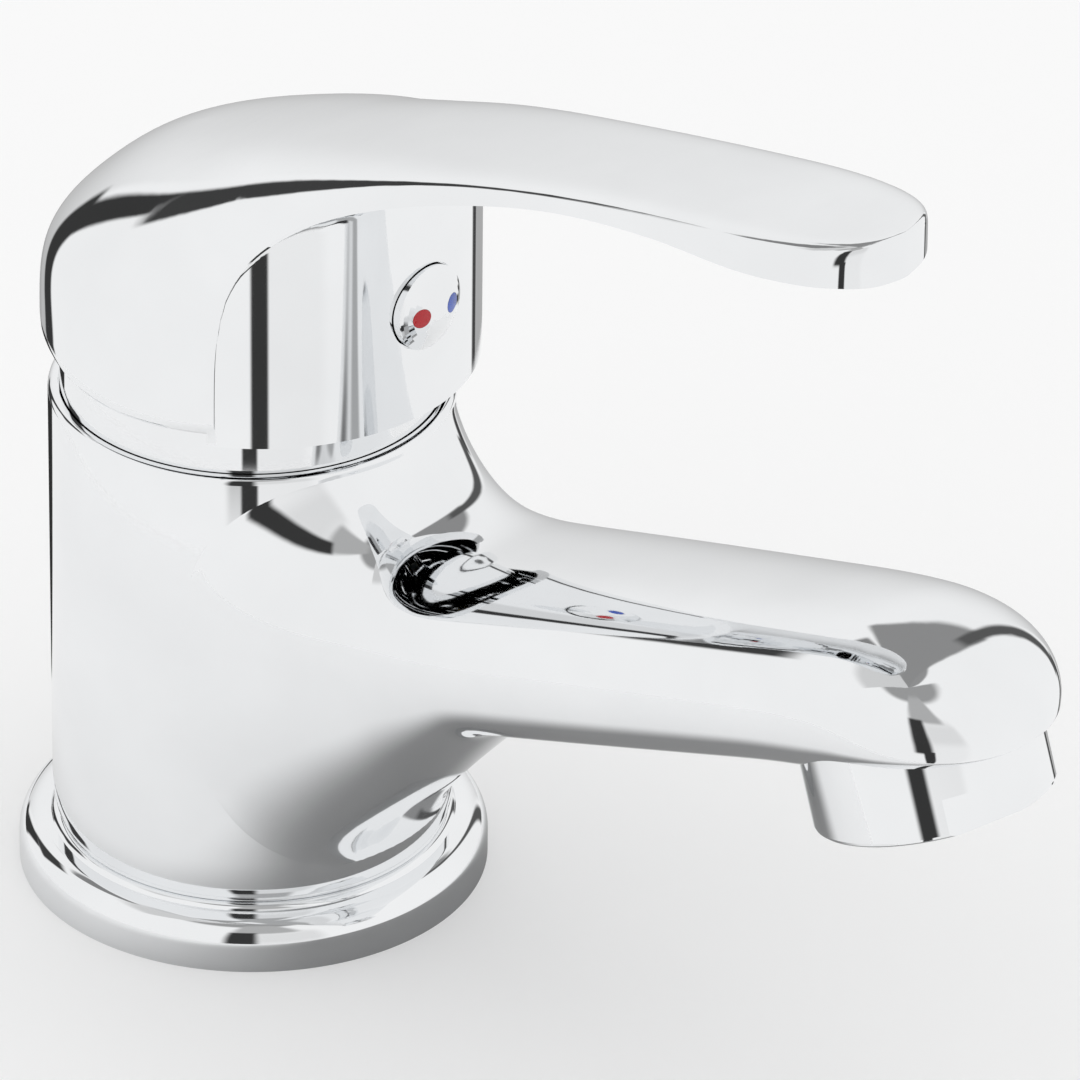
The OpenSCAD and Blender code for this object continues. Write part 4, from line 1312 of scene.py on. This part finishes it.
    def build(self, book: FinishBook) -> bpy.types.Object:
        """Models the handle and dresses it.

        Args:
            book: the finishes.

        Returns:
            The finished handle.
        """
        handle = self.skin()
        handle.combine(self.front_wall(), "UNION")
        handle.combine(self.cavity(), "DIFFERENCE")
        boss_end = self.stem_top + OVERCUT
        handle.combine(self.on_stem(bpy.ops.mesh.primitive_cylinder_add, self.boss_start, boss_end,
                                    radius=self.boss_r, vertices=self.boss_sides,
                                    depth=boss_end - self.boss_start), "UNION")
        handle.combine(self.across(0.0, self.skirt_shift + self.cavity_r, self.screw_boss_r), "UNION")
        side = 2 * self.stem_half
        socket = self.on_stem(bpy.ops.mesh.primitive_cube_add, 0.0, self.stem_top, size=side)
        socket.focus()
        bpy.ops.transform.resize(value=(1.0, 1.0, self.stem_top / side), orient_type="LOCAL")
        handle.combine(socket, "DIFFERENCE")
        handle.combine(self.across(0.0, self.bore_end, self.screw_r), "DIFFERENCE")
        handle.combine(self.across(self.plug_seat_x, self.bore_end, self.plug_r), "DIFFERENCE")
        piece = handle.finish()
        book.dress(piece, Slot.CHROME)
        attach(piece, Body.LEVER.value)
        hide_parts("handle")
        return piece


@dataclass(frozen=True)
class Panel:
    """A patch of the tent, in degrees: where it lies, how it leans and how soft its edges are.

    A fade gives the lower and upper edges a softness of their own.
    """

    bearing: tuple[float, float]
    height: tuple[float, float]
    shade: float
    lean: float = 0.0
    soft: float = 1.5
    fade: float = 0.0

    def paint(self, board: Board, place: Socket, under: Source) -> Socket:
        """Lays the patch over what is already painted.

        Args:
            board: the world's node board.
            place: bearing and height as a vector.
            under: the shade underneath.

        Returns:
            The shade with the patch on it.
        """
        half_w = (self.bearing[1] - self.bearing[0]) / 2
        half_h = (self.height[1] - self.height[0]) / 2
        centre = (sum(self.bearing) / 2, sum(self.height) / 2, 0.0)
        local = board.scaled(place, centre, (half_w, half_h, 1.0), self.lean)
        across, up = self.soft / half_w, (self.fade or self.soft) / half_h
        edge = board.node("MapRange")
        edge.data_type = "FLOAT_VECTOR"
        edge.interpolation_type = "SMOOTHSTEP"
        board.by_identifier(edge, "From_Min_FLOAT3").default_value = (1 + across, 1 + up, 1.0)
        board.by_identifier(edge, "From_Max_FLOAT3").default_value = (1 - across, 1 - up, 0.0)
        board.link(board.vector("ABSOLUTE", local, "Vector"), edge.inputs["Vector"])
        sides = board.parts(edge.outputs["Vector"])
        mixed = board.node("Mix", B=self.shade)
        board.link(board.math("MULTIPLY", sides["X"], sides["Y"]), mixed.inputs["Factor"])
        board.feed(under, mixed.inputs["A"])
        return mixed.outputs["Result"]


@dataclass
class Studio:
    """The white room: a soft tent of pale panels with dark seams, a floor and the camera.

    The tent shows only in what the chrome mirrors. The floor's mirror image ends where the tent's begins,
    has a dark seam at the back left and is shaded under the spout.
    """

    camera_at: Point = (0.78247, -0.84920, 0.71635)
    camera_turn: float = 41.043
    camera_tilt: float = 30.321
    camera_roll: float = 0.617
    lens: float = 393.48
    sensor: float = 36.0
    floor_size: float = 6.0
    seam_turn: float = 130.0
    wall_shade: float = 0.95
    floor_shade: float = 0.95
    floor_dark: float = -0.92
    floor_end: tuple[float, float] = (0.126, 0.132)
    floor_seam: tuple[float, float] = (148.0, 172.0)
    floor_seam_soft: float = 2.0
    floor_seam_start: tuple[float, float] = (0.045, 0.05)
    shadow_at: Point = (0.055, 0.0, 0.0)
    shadow_size: Point = (0.07, 0.032, 1.0)
    shadow_fade: tuple[float, float] = (0.6, 1.5)
    shadow_depth: float = 0.68
    panels: tuple[Panel, ...] = (
        Panel((-140.0, 72.0), (73.0, 100.0), 0.34, soft=3.0),
        Panel((62.0, 140.0), (72.0, 110.0), 0.30, lean=-36.0),
        Panel((103.0, 145.0), (38.0, 100.0), 0.28, lean=-8.0),
        Panel((145.0, 240.0), (60.0, 100.0), 0.66, soft=4.0),
        Panel((145.0, 176.0), (45.0, 61.0), 0.24),
        Panel((105.0, 163.0), (-100.0, 0.0), 0.50, soft=2.0, fade=32.0),
        Panel((103.0, 150.0), (-100.0, -24.0), 0.42, soft=2.0),
        Panel((-46.0, -15.0), (-100.0, 44.0), 0.90, soft=4.0),
        Panel((-46.0, -15.0), (0.0, 44.0), 0.78, soft=4.0, fade=12.0),
        Panel((-60.0, -22.0), (44.0, 80.0), 0.45, soft=4.0),
        Panel((-61.0, -46.0), (-24.0, 48.0), 0.04, soft=2.5),
        Panel((-53.5, -44.5), (-100.0, -20.0), 0.04, soft=1.0),
        Panel((85.0, 93.0), (-100.0, -44.0), 0.10),
        Panel((96.5, 103.0), (-60.0, -8.0), 0.06),
        Panel((97.0, 104.0), (-12.0, 47.0), 0.10, lean=-8.0),
        Panel((161.0, 174.5), (-100.0, 6.0), 0.04),
        Panel((167.0, 178.0), (2.0, 24.0), 0.04, lean=-17.0),
        Panel((170.5, 189.0), (22.0, 40.0), 0.05, lean=-8.0, soft=2.0),
    )

    def camera(self) -> None:
        """Places the camera at the object's viewing angle."""
        made = bpy.data.cameras.new("camera")
        made.sensor_width = self.sensor
        made.lens = self.lens
        made.clip_end = 20.0
        camera = bpy.data.objects.new("camera", made)
        bpy.context.collection.objects.link(camera)
        turn = Matrix.Rotation(math.radians(self.camera_turn), 4, "Z")
        tilt = Matrix.Rotation(math.radians(90.0 - self.camera_tilt), 4, "X")
        roll = Matrix.Rotation(math.radians(self.camera_roll), 4, "Z")
        camera.matrix_world = Matrix.Translation(self.camera_at) @ turn @ tilt @ roll
        bpy.context.scene.camera = camera

    def world(self) -> None:
        """Surrounds the object with white, and with the tent's panels in what it mirrors."""
        world = bpy.data.worlds.new("studio")
        bpy.context.scene.world = world
        world.use_nodes = True
        board = Board(world.node_tree)
        direction = board.parts(board.node("TexCoord").outputs["Generated"])
        turned = board.math("ADD", board.bearing(direction), self.seam_turn)
        bearing = board.math("SUBTRACT", board.math("FLOORED_MODULO", turned, 360.0), self.seam_turn)
        height = board.math("DEGREES", board.math("ARCSINE", direction["Z"]))
        place = board.node("CombineXYZ")
        board.link(bearing, place.inputs["X"])
        board.link(height, place.inputs["Y"])
        shade: Source = self.wall_shade
        for panel in self.panels:
            shade = panel.paint(board, place.outputs["Vector"], shade)
        glossy = board.node("LightPath").outputs["Is Glossy Ray"]
        mirrored = board.math("MULTIPLY", board.math("SUBTRACT", shade, 1.0), glossy)
        background = world.node_tree.nodes["Background"]
        board.link(board.math("ADD", 1.0, mirrored), background.inputs["Strength"])
        background.inputs["Color"].default_value = (1.0, 1.0, 1.0, 1.0)

    def floor(self) -> None:
        """Lays the pale floor that catches the object's shadow, with a painted shadow under the spout that
        shows only in the chrome's reflections.
        """
        bpy.ops.mesh.primitive_plane_add(size=self.floor_size)
        floor = bpy.context.active_object
        floor.name = "floor"
        board = NodeBoard("studio_floor")
        board.shader.inputs["Roughness"].default_value = 0.9
        board.shader.inputs["Specular IOR Level"].default_value = 0.0
        far = board.vector("LENGTH", board.object_coords, "Value")
        glossy = board.node("LightPath").outputs["Is Glossy Ray"]
        turn = board.bearing(board.parts(board.object_coords))
        start, end = self.floor_seam
        seam = board.math("MULTIPLY", board.eased(turn, start, start + self.floor_seam_soft),
                          board.eased(turn, end - self.floor_seam_soft, end, 1.0, 0.0))
        seam = board.math("MULTIPLY", seam, board.eased(far, *self.floor_seam_start))
        # Painted shadow: an ellipse under the spout and round the foot, darker in the floor's colour for
        # reflections only.
        near = board.vector("LENGTH", board.scaled(board.object_coords, self.shadow_at, self.shadow_size),
                            "Value")
        dark = board.math("MAXIMUM", seam, board.eased(near, *self.shadow_fade, self.shadow_depth, 0.0))
        shade = board.math("MULTIPLY_ADD", board.math("MULTIPLY", dark, glossy), self.floor_dark,
                           self.floor_shade)
        board.link(shade, board.shader.inputs["Base Color"])
        mix = board.node("MixShader")
        board.link(board.math("MULTIPLY", board.eased(far, *self.floor_end), glossy), mix.inputs["Fac"])
        board.link(board.shader.outputs["BSDF"], mix.inputs[1])
        board.link(board.node("BsdfTransparent").outputs["BSDF"], mix.inputs[2])
        board.link(mix.outputs["Shader"], board.tree.nodes["Material Output"].inputs["Surface"])
        floor.data.materials.append(board.material)

    def build(self) -> None:
        """Sets up the whole studio."""
        self.camera()
        self.world()
        self.floor()
        bpy.context.scene.view_settings.view_transform = "Standard"


def main() -> None:
    """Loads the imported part, dresses it and builds the studio."""
    logging.basicConfig(level=logging.INFO, format="%(name)s: %(message)s")
    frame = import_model()
    bpy.ops.object.select_all(action="DESELECT")
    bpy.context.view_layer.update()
    book = FinishBook()
    book.fill()
    book.dress_nodes(frame["nodes"], frame["record"])
    for form in (Casting(), BaseRing(), HandleShell()):
        piece = form.build(book)
        LOG.info("%s: %d faces", piece.name, len(piece.data.polygons))
    Studio().build()


if __name__ == "__main__":
    main()
